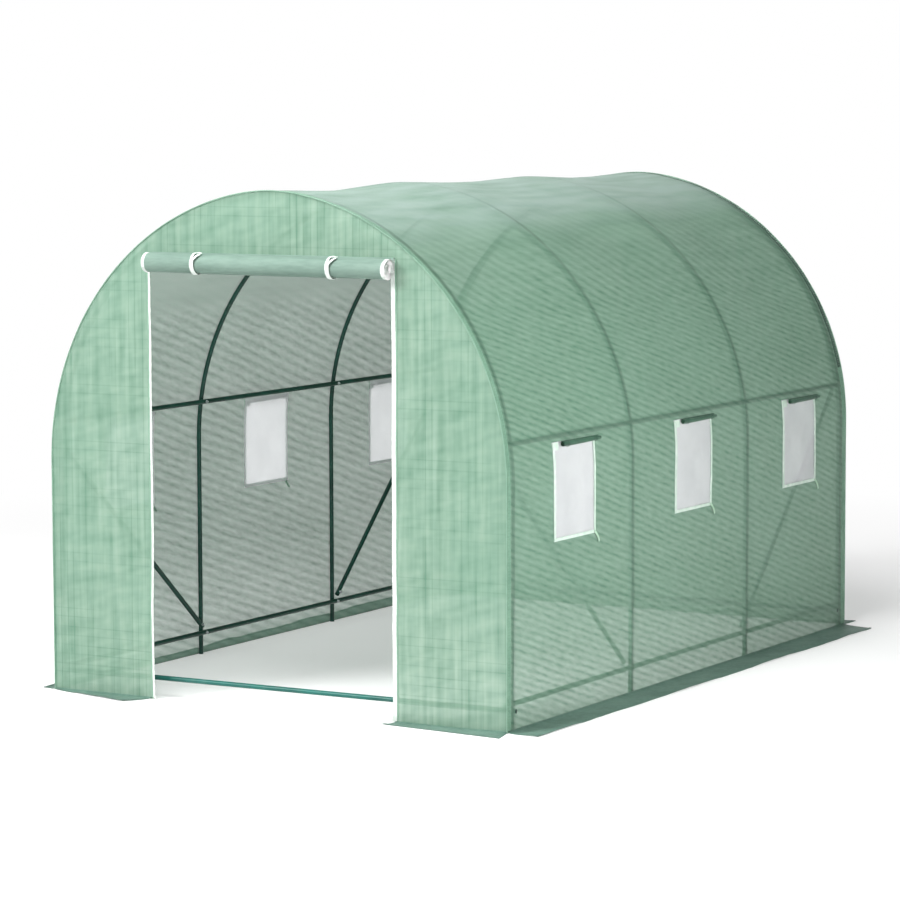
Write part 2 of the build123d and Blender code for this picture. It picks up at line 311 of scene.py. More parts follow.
# ---------------------------------------------------------------------------
# Materials
# ---------------------------------------------------------------------------
class Nodes:
    def __init__(self, name):
        self.mat = bpy.data.materials.new(name)
        self.mat.use_nodes = True
        self.nt = self.mat.node_tree
        self.nt.nodes.clear()
        self.out = self.nt.nodes.new("ShaderNodeOutputMaterial")

    def add(self, kind, **props):
        n = self.nt.nodes.new(kind)
        for k, v in props.items():
            setattr(n, k, v)
        return n

    def link(self, a, b):
        self.nt.links.new(a, b)

    def put(self, socket, value):
        if isinstance(value, bpy.types.NodeSocket):
            self.link(value, socket)
        elif isinstance(value, (tuple, list)) and len(value) == 3 and socket.type == "RGBA":
            socket.default_value = (*value, 1.0)
        else:
            socket.default_value = value

    def math(self, op, a, b=None, c=None, clamp=False):
        n = self.add("ShaderNodeMath", operation=op, use_clamp=clamp)
        for i, v in enumerate((a, b, c)):
            if v is not None:
                self.put(n.inputs[i], v)
        return n.outputs[0]

    def mix(self, fac, a, b, blend="MIX"):
        n = self.add("ShaderNodeMix", data_type="RGBA", blend_type=blend)
        self.put(n.inputs[0], fac)
        self.put(n.inputs[6], a)
        self.put(n.inputs[7], b)
        return n.outputs[2]

    def ramp(self, value, lo, hi, to_lo=0.0, to_hi=1.0, kind="SMOOTHSTEP"):
        n = self.add("ShaderNodeMapRange", interpolation_type=kind, clamp=True)
        for i, v in enumerate((value, lo, hi, to_lo, to_hi)):
            self.put(n.inputs[i], v)
        return n.outputs[0]

    def combine(self, x, y, z=0.0):
        n = self.add("ShaderNodeCombineXYZ")
        for i, v in enumerate((x, y, z)):
            self.put(n.inputs[i], v)
        return n.outputs[0]

    def split(self, vector):
        n = self.add("ShaderNodeSeparateXYZ")
        self.put(n.inputs[0], vector)
        return n.outputs[0], n.outputs[1], n.outputs[2]

    def scaled(self, vector, sx, sy, sz=1.0, ox=0.0, oy=0.0, oz=0.0):
        n = self.add("ShaderNodeMapping")
        self.put(n.inputs[0], vector)
        n.inputs["Scale"].default_value = (sx, sy, sz)
        n.inputs["Location"].default_value = (ox, oy, oz)
        return n.outputs[0]

    def noise(self, vector, scale=1.0, detail=2.0, rough=0.5):
        n = self.add("ShaderNodeTexNoise", noise_dimensions="3D")
        self.put(n.inputs["Vector"], vector)
        n.inputs["Scale"].default_value = scale
        n.inputs["Detail"].default_value = detail
        n.inputs["Roughness"].default_value = rough
        return n.outputs["Fac"] if "Fac" in n.outputs else n.outputs[0]

    def white(self, value):
        n = self.add("ShaderNodeTexWhiteNoise", noise_dimensions="1D")
        self.put(n.inputs["W"], value)
        return n.outputs["Value"]

    def bump(self, height, strength, distance, normal=None):
        n = self.add("ShaderNodeBump")
        self.put(n.inputs["Height"], height)
        n.inputs["Strength"].default_value = strength
        n.inputs["Distance"].default_value = distance
        if normal is not None:
            self.link(normal, n.inputs["Normal"])
        return n.outputs[0]

    def principled(self, color, rough, metallic=0.0, normal=None, spec=0.5, coat=0.0, coat_rough=0.1, sheen=0.0, ior=1.5):
        p = self.add("ShaderNodeBsdfPrincipled")
        self.put(p.inputs["Base Color"], color)
        self.put(p.inputs["Roughness"], rough)
        p.inputs["Metallic"].default_value = metallic
        p.inputs["Specular IOR Level"].default_value = spec
        p.inputs["Coat Weight"].default_value = coat
        p.inputs["Coat Roughness"].default_value = coat_rough
        p.inputs["Sheen Weight"].default_value = sheen
        p.inputs["IOR"].default_value = ior
        if normal is not None:
            self.link(normal, p.inputs["Normal"])
        return p.outputs[0]

    def surface(self, shader):
        self.link(shader, self.out.inputs["Surface"])
        return self.mat


def lin(r, g, b):
    def f(c):
        c /= 255.0
        return c / 12.92 if c <= 0.04045 else ((c + 0.055) / 1.055) ** 2.4
    return (f(r), f(g), f(b))


def see_through(N, solid, back_color, share_back, clear, tint=(1.0, 1.0, 1.0), normal=None):
    """Woven sheet: part of the light glows through, part passes straight."""
    glow = N.add("ShaderNodeBsdfTranslucent")
    N.put(glow.inputs["Color"], back_color)
    if normal is not None:
        N.link(normal, glow.inputs["Normal"])
    m1 = N.add("ShaderNodeMixShader")
    N.put(m1.inputs[0], share_back)
    N.link(solid, m1.inputs[1])
    N.link(glow.outputs[0], m1.inputs[2])
    clearing = N.add("ShaderNodeBsdfTransparent")
    N.put(clearing.inputs["Color"], tint)
    m2 = N.add("ShaderNodeMixShader")
    N.put(m2.inputs[0], clear)
    N.link(m1.outputs[0], m2.inputs[1])
    N.link(clearing.outputs[0], m2.inputs[2])
    return m2.outputs[0]


def side_cloth(name, pitch, calm_from, calm_to, gain, low, sheen_band, roof_lines):
    """Woven sheet of the walls and roof. The weave map is metres along the
    tunnel and metres down from the ridge, so the slanting reinforcing threads
    fall to the rear on both sides, and steeper over the roof. Towards the
    ridge the colour turns paler and greyer, a painted sheen that stands for the
    grazing reflection there, and the see-through is cut down."""
    dark, light, tone_c, sheen_c, back_dark, back_light = low
    N = Nodes(name)
    uv = N.add("ShaderNodeUVMap", uv_map="weave").outputs[0]
    y, w, _ = N.split(uv)
    slant = math.radians(17.0)
    along = N.math("ADD", N.math("MULTIPLY", y, math.cos(slant)), N.math("MULTIPLY", w, math.sin(slant)))
    across = N.math("SUBTRACT", N.math("MULTIPLY", w, math.cos(slant)), N.math("MULTIPLY", y, math.sin(slant)))
    line = N.combine(along, across)
    drift = N.noise(N.scaled(line, 2.2, 5.0, 1.0), 1.0, 1.0)
    # lines per metre: ky along the tunnel, kw down the wall, fewer down the roof
    ky, kw = math.sin(slant) / pitch, math.cos(slant) / pitch
    over = N.math("SUBTRACT", w, roof_lines[1])
    bend = N.math("MULTIPLY", N.math("ADD", over, N.math("SQRT", N.math("ADD", N.math("MULTIPLY", over, over), 0.0064))), 0.5)
    count = N.math("ADD", N.math("MULTIPLY", w, roof_lines[0]), N.math("MULTIPLY", bend, kw - roof_lines[0]))
    count = N.math("SUBTRACT", count, N.math("MULTIPLY", y, ky))
    phase = N.math("ADD", N.math("MULTIPLY", count, 2 * PI), N.math("MULTIPLY", drift, 4.0))
    stripe = N.math("SINE", phase)
    dash = N.noise(N.scaled(line, 11.0, 50.0, 1.0, 3.0, 1.0), 1.0, 1.0, 0.6)
    dash2 = N.noise(N.scaled(line, 20.0, 75.0, 1.0, 7.0, 5.0), 1.0, 1.0, 0.6)
    value = N.math("MULTIPLY", stripe, N.ramp(dash, 0.35, 0.62, 0.35, 1.0))
    value = N.math("ADD", N.math("MULTIPLY", value, 0.66), N.math("MULTIPLY", N.math("SUBTRACT", dash2, 0.5), 1.9))
    value = N.math("MULTIPLY", value, N.ramp(w, calm_from, calm_to, 0.10 * gain, gain))
    # long soft streaks along the sheet, strongest near the ridge
    streak = N.noise(N.scaled(uv, 1.5, 15.0, 1.0, 11.0, 4.0), 1.0, 2.0, 0.55)
    streak = N.math("MULTIPLY", N.math("SUBTRACT", streak, 0.5), N.ramp(w, 0.3, 1.2, 2.4, 0.5))
    patch = N.math("SUBTRACT", N.noise(N.scaled(uv, 1.7, 1.9, 1.0, 2.0, 9.0), 1.0, 1.0, 0.5), 0.5)
    value = N.math("ADD", value, streak)
    value = N.math("ADD", value, N.math("MULTIPLY", patch, 0.5))
    value = N.math("ADD", N.math("MULTIPLY", value, 0.5), 0.5, clamp=True)
    # the tapes of the weave itself
    tapes = N.math("MULTIPLY", N.math("SINE", N.math("MULTIPLY", y, 2 * PI / 0.0024)),
                   N.math("SINE", N.math("MULTIPLY", w, 2 * PI / 0.0024)))
    height = N.math("ADD", N.math("MULTIPLY", tapes, 0.25), N.math("MULTIPLY", stripe, 0.3))
    normal = N.bump(height, 0.35, 0.0012)
    color = N.mix(value, dark, light)
    tone = N.math("ADD", patch, 0.5, clamp=True)
    color = N.mix(N.math("MULTIPLY", tone, 0.30), color, tone_c)
    # painted sheen: a pale grey tone mixed in towards the ridge, its lower edge wandering with the pattern and shifting
    # along the tunnel
    wander = N.math("ADD", w, N.math("MULTIPLY", N.math("ADD", patch, N.math("MULTIPLY", streak, 0.30)), 0.20))
    wander = N.math("ADD", wander, N.math("MULTIPLY", y, 0.022))
    ridge_sheen = N.ramp(wander, sheen_band[1], sheen_band[2], 1.0, 0.0)
    ridge_sheen = N.math("MULTIPLY", ridge_sheen, N.math("ADD", N.math("MULTIPLY", y, 0.055), sheen_band[0]))
    sheen_patches = N.math("SUBTRACT", N.noise(N.scaled(uv, 3.2, 15.0, 1.0, 2.0, 14.0), 1.0, 1.0, 0.6), 0.5)
    ridge_sheen = N.math("MULTIPLY", ridge_sheen, N.math("ADD", N.math("MULTIPLY", sheen_patches, 1.9), 1.0), clamp=True)
    color = N.mix(ridge_sheen, color, sheen_c)
    # painted shade: darker where the cloth lies on a hoop, and faintly along the side rail, where the tubes block the
    # light from behind
    tube_shade = None
    for hoop_y in HOOP_Y:
        gap = N.math("ABSOLUTE", N.math("SUBTRACT", y, hoop_y))
        line_ = N.ramp(gap, 0.0085, 0.0150, 1.0, 0.0)
        tube_shade = line_ if tube_shade is None else N.math("MAXIMUM", tube_shade, line_)
    gap = N.math("ABSOLUTE", N.math("SUBTRACT", w, RAIL_DOWN))
    tube_shade = N.math("MAXIMUM", tube_shade, N.ramp(gap, 0.0065, 0.0115, 1.1, 0.0))
    tube_shade = N.math("MULTIPLY", tube_shade, N.ramp(w, 0.30, 0.62, 0.18, 0.44))
    color = N.mix(tube_shade, color, lin(58, 96, 76))
    solid = N.principled(color, N.ramp(value, 0.0, 1.0, 0.46, 0.36), normal=normal, spec=0.6, sheen=0.05)
    back = N.mix(value, back_dark, back_light)
    clear = N.ramp(value, 0.10, 0.90, SIDE_CLEAR[0], SIDE_CLEAR[1], "LINEAR")
    clear = N.math("MULTIPLY", clear, N.ramp(w, 0.10, 0.85, 0.16, 1.0))
    return N.surface(see_through(N, solid, back, SIDE_SHARE, clear, SIDE_TINT, normal))


def end_cloth(name):
    """Woven sheet of the ends: upright streaks of uneven threads, fainter level
    ones, and now and then a thicker rib."""
    N = Nodes(name)
    uv = N.add("ShaderNodeUVMap", uv_map="weave").outputs[0]
    x, z, _ = N.split(uv)
    s1 = N.noise(N.scaled(uv, 34.0, 2.3, 1.0, 5.0, 0.0), 1.0, 1.0, 0.6)
    s2 = N.noise(N.scaled(uv, 95.0, 8.0, 1.0, 1.0, 3.0), 1.0, 1.0, 0.6)
    h1 = N.noise(N.scaled(uv, 3.0, 26.0, 1.0, 2.0, 8.0), 1.0, 0.0, 0.6)
    value = N.math("MULTIPLY", N.math("SUBTRACT", s1, 0.5), 2.1)
    value = N.math("ADD", value, N.math("MULTIPLY", N.math("SUBTRACT", s2, 0.5), 0.5))
    # soft waves that climb to the right
    rise = math.radians(17.0)
    wu = N.math("ADD", N.math("MULTIPLY", x, math.cos(rise)), N.math("MULTIPLY", z, math.sin(rise)))
    wv = N.math("SUBTRACT", N.math("MULTIPLY", z, math.cos(rise)), N.math("MULTIPLY", x, math.sin(rise)))
    swell = N.noise(N.scaled(N.combine(wu, wv), 4.5, 25.0, 1.0, 3.0, 7.0), 1.0, 1.0, 0.55)
    value = N.math("ADD", value, N.math("MULTIPLY", N.math("SUBTRACT", swell, 0.5), 1.25))
    value = N.math("ADD", value, N.math("MULTIPLY", N.math("SUBTRACT", h1, 0.5), 0.5))
    blot = N.noise(N.scaled(uv, 24.0, 19.0, 1.0, 9.0, 1.0), 1.0, 1.0, 0.6)
    value = N.math("ADD", value, N.math("MULTIPLY", N.math("SUBTRACT", blot, 0.5), 0.7))
    ribs = None
    for coord, other, pitch, seed, depth in ((x, z, 0.0300, 3.0, 1.30), (z, x, 0.0360, 11.0, 0.70)):
        cell = N.math("DIVIDE", coord, pitch)
        pick = N.white(N.math("ADD", N.math("FLOOR", cell), seed))
        pick = N.math("POWER", pick, 1.6)
        inside = N.math("PINGPONG", N.math("FRACT", cell), 0.5)
        rib = N.ramp(inside, 0.0, 0.17, 1.0, 0.0)
        run = N.noise(N.combine(N.math("FLOOR", cell), N.math("MULTIPLY", other, 2.4)), 1.0, 1.0)
        rib = N.math("MULTIPLY", N.math("MULTIPLY", rib, pick), N.ramp(run, 0.35, 0.6, 0.15, 1.0))
        rib = N.math("MULTIPLY", rib, depth)
        ribs = rib if ribs is None else N.math("ADD", ribs, rib)
    value = N.math("SUBTRACT", value, ribs)
    patch = N.math("SUBTRACT", N.noise(N.scaled(uv, 2.6, 2.2, 1.0, 6.0, 2.0), 1.0, 1.0, 0.5), 0.5)
    value = N.math("ADD", N.math("MULTIPLY", value, 0.55), 0.56, clamp=True)
    tapes = N.math("MULTIPLY", N.math("SINE", N.math("MULTIPLY", x, 2 * PI / 0.0024)),
                   N.math("SINE", N.math("MULTIPLY", z, 2 * PI / 0.0024)))
    height = N.math("ADD", N.math("MULTIPLY", tapes, 0.25), s1)
    normal = N.bump(height, 0.3, 0.0012)
    color = N.mix(value, END_DARK, END_LIGHT)
    tone = N.math("ADD", N.math("MULTIPLY", patch, 1.6), 0.5, clamp=True)
    color = N.mix(N.math("MULTIPLY", tone, 0.30), color, END_TONE)
    solid = N.principled(color, N.ramp(value, 0.0, 1.0, 0.52, 0.42), normal=normal, spec=0.5, sheen=0.05)
    back = N.mix(value, END_BACK_DARK, END_BACK_LIGHT)
    clear = N.ramp(value, 0.1, 0.9, END_CLEAR[0], END_CLEAR[1], "LINEAR")
    return N.surface(see_through(N, solid, back, END_SHARE, clear, END_TINT, normal))


def scaled_rgb(c, kr, kg, kb):
    return (c[0] * kr, c[1] * kg, c[2] * kb)


# Sheet colours: the surface in reflected light, and in light from behind
# the fourth colour is the pale grey of the painted sheen near the ridge
SIDE_COLORS = [lin(80, 128, 98), lin(142, 184, 154), lin(108, 160, 132), lin(164, 192, 181), lin(92, 112, 98), lin(150, 166, 152)]
SIDE_RIGHT = [scaled_rgb(c, 1.038, 1.0, 1.067) for c in SIDE_COLORS[:3]] + [SIDE_COLORS[3]] + [scaled_rgb(c, 1.038, 1.0, 1.067) for c in SIDE_COLORS[4:]]
# left half of the cover: the same colours darkened, painted shade for the dim inside of the tunnel
SIDE_LEFT_SHADED = [scaled_rgb(c, 0.65, 0.745, 0.755) for c in SIDE_COLORS[:3]] + [SIDE_COLORS[3]] + [scaled_rgb(c, 0.65, 0.745, 0.755) for c in SIDE_COLORS[4:]]
SIDE_SHARE, SIDE_CLEAR, SIDE_TINT = 0.30, (0.15, 0.30), (0.98, 0.985, 0.98)
END_DARK, END_LIGHT, END_TONE = (scaled_rgb(c, 0.815, 0.785, 0.775) for c in (lin(106, 156, 130), lin(178, 214, 192), lin(134, 188, 164)))
END_BACK_DARK, END_BACK_LIGHT = (scaled_rgb(c, 0.815, 0.785, 0.775) for c in (lin(112, 150, 130), lin(165, 198, 178)))
END_SHARE, END_CLEAR, END_TINT = 0.32, (0.07, 0.16), (0.98, 0.99, 0.98)


def plain_cloth(name, dark, light, scale=60.0, rough=0.6, clear=None, share=0.25, stretch=(1, 1, 1), bump=0.4, sheen=0.1):
    """Opaque or slightly clear woven tape or sheet, by object position."""
    N = Nodes(name)
    pos = N.add("ShaderNodeTexCoord").outputs["Object"]
    big = N.noise(N.scaled(pos, *stretch), scale * 0.12, 3.0, 0.55)
    fine = N.noise(N.scaled(pos, *stretch), scale, 2.0, 0.6)
    x, y, z = N.split(pos)
    weave = N.math("MULTIPLY", N.math("SINE", N.math("MULTIPLY", N.math("ADD", x, y), 2 * PI / 0.0021)),
                   N.math("SINE", N.math("MULTIPLY", z, 2 * PI / 0.0021)))
    value = N.math("ADD", N.math("MULTIPLY", big, 0.6), N.math("MULTIPLY", fine, 0.4))
    value = N.ramp(value, 0.32, 0.68, 0.0, 1.0)
    color = N.mix(value, dark, light)
    height = N.math("ADD", N.math("MULTIPLY", weave, 0.35), fine)
    normal = N.bump(height, bump, 0.0008)
    solid = N.principled(color, rough, normal=normal, spec=0.4, sheen=sheen)
    if clear is None:
        return N.surface(solid)
    return N.surface(see_through(N, solid, N.mix(0.5, color, light), share, clear, (1.0, 1.0, 1.0), normal))


def steel_paint(name, dark, light):
    """Green powder coat on steel tube: slight orange peel, dust and rubbed spots."""
    N = Nodes(name)
    pos = N.add("ShaderNodeTexCoord").outputs["Object"]
    broad = N.noise(pos, 7.0, 4.0, 0.6)
    peel = N.noise(pos, 900.0, 2.0, 0.5)
    rub = N.noise(N.scaled(pos, 1, 1, 1, 3.0, 2.0, 1.0), 60.0, 5.0, 0.7)
    color = N.mix(N.ramp(broad, 0.3, 0.7), dark, light)
    worn = N.ramp(rub, 0.66, 0.74)
    color = N.mix(N.math("MULTIPLY", worn, 0.35), color, lin(120, 150, 140))
    dusty = N.ramp(N.noise(pos, 22.0, 4.0, 0.7), 0.5, 0.8)
    color = N.mix(N.math("MULTIPLY", dusty, 0.10), color, lin(150, 165, 150))
    rough = N.math("ADD", N.ramp(broad, 0.2, 0.8, 0.30, 0.44), N.math("MULTIPLY", worn, 0.12))
    normal = N.bump(peel, 0.12, 0.0004)
    return N.surface(N.principled(color, rough, normal=normal, spec=0.4, coat=0.05, coat_rough=0.3))


def galvanised(name):
    N = Nodes(name)
    pos = N.add("ShaderNodeTexCoord").outputs["Object"]
    v = N.add("ShaderNodeTexVoronoi")
    N.link(pos, v.inputs["Vector"])
    v.inputs["Scale"].default_value = 420.0
    n = N.noise(pos, 140.0, 3.0)
    value = N.math("ADD", N.math("MULTIPLY", v.outputs["Distance"], 0.6), N.math("MULTIPLY", n, 0.5), clamp=True)
    color = N.mix(value, lin(150, 155, 158), lin(222, 226, 228))
    normal = N.bump(n, 0.2, 0.0003)
    return N.surface(N.principled(color, N.ramp(value, 0, 1, 0.22, 0.42), metallic=0.9, normal=normal))


def white_plastic(name, dark, light, rough=0.45, ribs=0.0):
    N = Nodes(name)
    pos = N.add("ShaderNodeTexCoord").outputs["Object"]
    n = N.noise(pos, 38.0, 4.0, 0.6)
    fine = N.noise(pos, 420.0, 2.0, 0.5)
    color = N.mix(N.ramp(n, 0.3, 0.7), dark, light)
    height = fine
    if ribs:
        x, y, z = N.split(pos)
        height = N.math("ADD", height, N.math("MULTIPLY", N.math("SINE", N.math("MULTIPLY", N.math("ADD", N.math("ADD", x, y), z), 2 * PI / ribs)), 0.8))
    normal = N.bump(height, 0.35, 0.0006)
    return N.surface(N.principled(color, rough, normal=normal, spec=0.45, sheen=0.1))


def netting(name):
    """Pale insect net: fine square mesh with see-through holes."""
    N = Nodes(name)
    uv = N.add("ShaderNodeUVMap", uv_map="weave").outputs[0]
    a, b, _ = N.split(uv)
    cell = 0.0031
    hole = None
    for c in (a, b):
        t = N.math("PINGPONG", N.math("FRACT", N.math("DIVIDE", c, cell)), 0.5)
        g = N.ramp(t, 0.13, 0.19)
        hole = g if hole is None else N.math("MULTIPLY", hole, g)
    cloud = N.noise(N.scaled(uv, 9.0, 7.0), 1.0, 3.0, 0.55)
    color = N.mix(N.ramp(cloud, 0.3, 0.7), lin(216, 215, 220), lin(236, 235, 239))
    solid = N.principled(color, 0.55, spec=0.4, sheen=0.1)
    clear = N.math("ADD", N.math("MULTIPLY", hole, 0.44), N.ramp(cloud, 0.2, 0.8, 0.02, 0.06), clamp=True)
    return N.surface(see_through(N, solid, lin(236, 238, 241), 0.35, clear))


M_SIDE = side_cloth("cloth_walls_roof_right", 0.0262, 0.35, 0.98, 1.08, SIDE_RIGHT, (0.75, 0.36, 0.62), (10.5, 0.95))
# painted shade: the left half takes the darkened copy of the sheet colours
M_SIDE_LEFT_SHADED = side_cloth("cloth_walls_roof_left_shaded", 0.0376, 0.95, 1.12, 0.80, SIDE_LEFT_SHADED, (0.75, 0.36, 0.62), (9.0, 0.80))
M_END = end_cloth("cloth_ends")
M_SEAM = plain_cloth("cloth_seam", lin(128, 166, 144), lin(144, 180, 158), 70, 0.5, clear=0.06, share=0.25)
M_FLAP = plain_cloth("cloth_ground_flap", lin(72, 108, 94), lin(104, 138, 124), 45, 0.5, clear=0.08, share=0.15)
M_DOOR = plain_cloth("cloth_door", lin(121, 149, 136), lin(141, 168, 155), 60, 0.62, clear=0.04, share=0.3, stretch=(0.3, 1.6, 1.6))
M_WROLL = plain_cloth("cloth_window_roll", lin(20, 62, 44), lin(46, 92, 68), 60, 0.5, stretch=(1.4, 0.35, 1.4))
M_DOOR_END = white_plastic("door_roll_end", lin(200, 194, 197), lin(222, 217, 219), 0.55)
M_WHITE = white_plastic("white_webbing", lin(196, 206, 200), lin(222, 230, 224), 0.5, ribs=0.0042)
M_TAPE = white_plastic("white_zip_tape", lin(196, 206, 200), lin(222, 230, 224), 0.55, ribs=0.0030)
M_TEETH = white_plastic("zip_teeth", lin(190, 198, 192), lin(222, 228, 222), 0.35)
M_HOOK = white_plastic("window_border_tape", lin(182, 206, 190), lin(210, 224, 214), 0.55, ribs=0.0024)
M_TIE = white_plastic("window_tie", lin(140, 180, 150), lin(175, 205, 180), 0.5, ribs=0.0024)
M_NET = netting("window_net")
M_TUBE = steel_paint("green_tube", lin(5, 52, 42), lin(12, 72, 60))
# painted light: a lighter copy of the same green paint, for the front rail in direct light
M_TUBE_LIT = steel_paint("green_tube_painted_lit", lin(4, 80, 72), lin(10, 100, 90))
M_CAP = white_plastic("tube_end_cap", lin(14, 44, 36), lin(26, 62, 50), 0.5)
M_BOLT = galvanised("galvanised_bolt")
M_ROOF_HEM = plain_cloth("cloth_roof_hem", lin(104, 148, 124), lin(130, 170, 146), 70, 0.5, clear=0.06, share=0.25)
M_REAR_HEM = plain_cloth("cloth_rear_hem", lin(16, 52, 38), lin(34, 74, 56), 70, 0.6, clear=0.02, share=0.02)
M_THREAD = plain_cloth("seam_thread", lin(132, 170, 148), lin(160, 192, 172), 200, 0.6)

# ---------------------------------------------------------------------------
# The cover: one sheet over both walls and the roof, with six window openings
# ---------------------------------------------------------------------------
win_edges = []
for wy in WINDOW_Y:
    win_edges += [wy - WINDOW_W / 2, wy + WINDOW_W / 2]
cu = ticks([0.0, WINDOW_LOW, U_WIN_TOP, U_RIDGE, U_END - U_WIN_TOP, U_END - WINDOW_LOW, U_END], 0.0180)
cy = ticks(sorted([-HALF_L, HALF_L, *HOOP_Y, *win_edges]), 0.0165)
UU, YY = np.meshgrid(cu, cy, indexing="ij")
P = cover_point(UU, YY)
mu, my = (cu[:-1] + cu[1:]) / 2, (cy[:-1] + cy[1:]) / 2
in_u = ((mu > WINDOW_LOW) & (mu < U_WIN_TOP)) | ((mu > U_END - U_WIN_TOP) & (mu < U_END - WINDOW_LOW))
in_y = np.zeros(my.shape, bool)
for k in range(3):
    in_y |= (my > win_edges[2 * k]) & (my < win_edges[2 * k + 1])
keep = ~(in_u[:, None] & in_y[None, :])
left_half = np.broadcast_to((mu > U_RIDGE)[:, None], keep.shape)[keep].astype(int)
cover = grid_piece("cover", P, [M_SIDE, M_SIDE_LEFT_SHADED], np.stack([YY, from_ridge(UU)], -1), keep, mat_index=left_half)
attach(cover, "root")
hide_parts("side_wall_left_lower", "side_wall_left_upper", "side_wall_right_lower",
            "side_wall_right_upper", "roof_left_lower", "roof_left_middle", "roof_left_upper",
            "roof_right_lower", "roof_right_middle", "roof_right_upper")


# ---------------------------------------------------------------------------
# End sheets
# ---------------------------------------------------------------------------
def door_line(u):
    """Point of the doorway outline that belongs to arc length u of the arch."""
    u = np.asarray(u, float)
    side = np.where(u > U_RIDGE, -1.0, 1.0)
    um = np.where(u > U_RIDGE, U_END - u, u)
    x = np.where(um <= U_CORNER, DOOR, DOOR * (U_RIDGE - um) / (U_RIDGE - U_CORNER))
    z = np.where(um <= U_CORNER, um / U_CORNER * DOOR_TOP, DOOR_TOP)
    return side * x, z


def end_out(x, z, edge, seed):
    """How far an end sheet bellies outwards; edge is 0 at the arch, 1 inside."""
    belly = 0.0018 * noise(x * 2.9 + seed, z * 1.7, 41 + seed) + 0.0022
    ripple = 0.0011 * noise(x * 8.0, z * 2.2, 43 + seed)
    fold = 0.0007 * noise(x * 21.0, z * 3.0, 47 + seed)
    return edge * (belly + ripple + fold)


end_u = ticks([0.0, U_SPRING, U_CORNER, U_RIDGE, U_END - U_CORNER, U_END - U_SPRING, U_END], 0.0165)
end_v = np.linspace(0.0, 1.0, 28)


def end_band(sign, seed):
    EU, EV = np.meshgrid(end_u, end_v, indexing="ij")
    ox, oz, _, _ = arch(EU, 0.0046)
    ix, iz = door_line(EU)
    x, z = ix * (1 - EV) + ox * EV, iz * (1 - EV) + oz * EV
    edge = smooth(0.0, 0.22, 1 - EV)
    free = smooth(0.55, 1.0, 1 - EV)
    y = HALF_L + end_out(x, z, edge, seed)
    return x, y, z, free


x, y, z, free = end_band(-1, 1)
# the free edges beside the doorway wave a little, except where the zip ends
wave = free * (0.0032 * noise(z * 3.1, np.sign(x) * 2.0, 51) + 0.0014 * noise(z * 9.0, np.sign(x) * 4.0, 52))
wave = wave * smooth(1.62, 1.45, z) * smooth(-0.02, 0.12, z)
y = y + wave
front = grid_piece("front_sheet", np.stack([x, -y, z], -1), M_END, np.stack([x, z], -1), flip=True)
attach(front, "root")
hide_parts("front_panel_left", "front_panel_right", "front_header")


def door_wave(xs, zs):
    """Front sheet at the edge of the doorway, for the zips."""
    o = end_out(np.asarray(xs, float), np.asarray(zs, float), 1.0, 1)
    w = 0.0032 * noise(zs * 3.1, np.sign(xs) * 2.0, 51) + 0.0014 * noise(zs * 9.0, np.sign(xs) * 4.0, 52)
    return o + w * smooth(1.62, 1.45, zs) * smooth(-0.02, 0.12, zs)


x, y, z, free = end_band(1, 2)
n_in, n_v = x.shape
mid_out = 0.0
verts = [np.stack([x, y, z], -1).reshape(-1, 3)]
uvs = [np.stack([-x, z], -1).reshape(-1, 2)]
faces = [tuple(f) for f in grid_faces(n_in, n_v, None, False)]
# centre of the rear sheet: rows across from the left edge to the right one
legs = [i for i in range(n_in) if end_u[i] <= U_CORNER + 1e-9]
legs_l = [n_in - 1 - i for i in legs]
top = [i for i in range(n_in) if U_CORNER - 1e-9 <= end_u[i] <= U_END - U_CORNER + 1e-9]
n_col = len(top)
base = n_in * n_v
index = {}
extra_v, extra_uv = [], []
for r, (i, il) in enumerate(zip(legs, legs_l)):
    zr = z[i, 0]
    for c, t in enumerate(top):
        if c == 0:
            index[r, c] = i * n_v
        elif c == n_col - 1:
            index[r, c] = il * n_v
        elif r == len(legs) - 1:
            index[r, c] = t * n_v
        else:
            xc = x[t, 0]
            extra_v.append((xc, HALF_L + float(end_out(xc, zr, 1.0, 2)), zr))
            extra_uv.append((-xc, zr))
            index[r, c] = base + len(extra_v) - 1
for r in range(len(legs) - 1):
    for c in range(n_col - 1):
        faces.append((index[r, c], index[r, c + 1], index[r + 1, c + 1], index[r + 1, c])[::-1])
rear = make("rear_sheet", np.concatenate([verts[0], np.array(extra_v)]), faces, M_END,
            np.concatenate([uvs[0], np.array(extra_uv)]))
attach(rear, "root")
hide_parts("rear_panel")

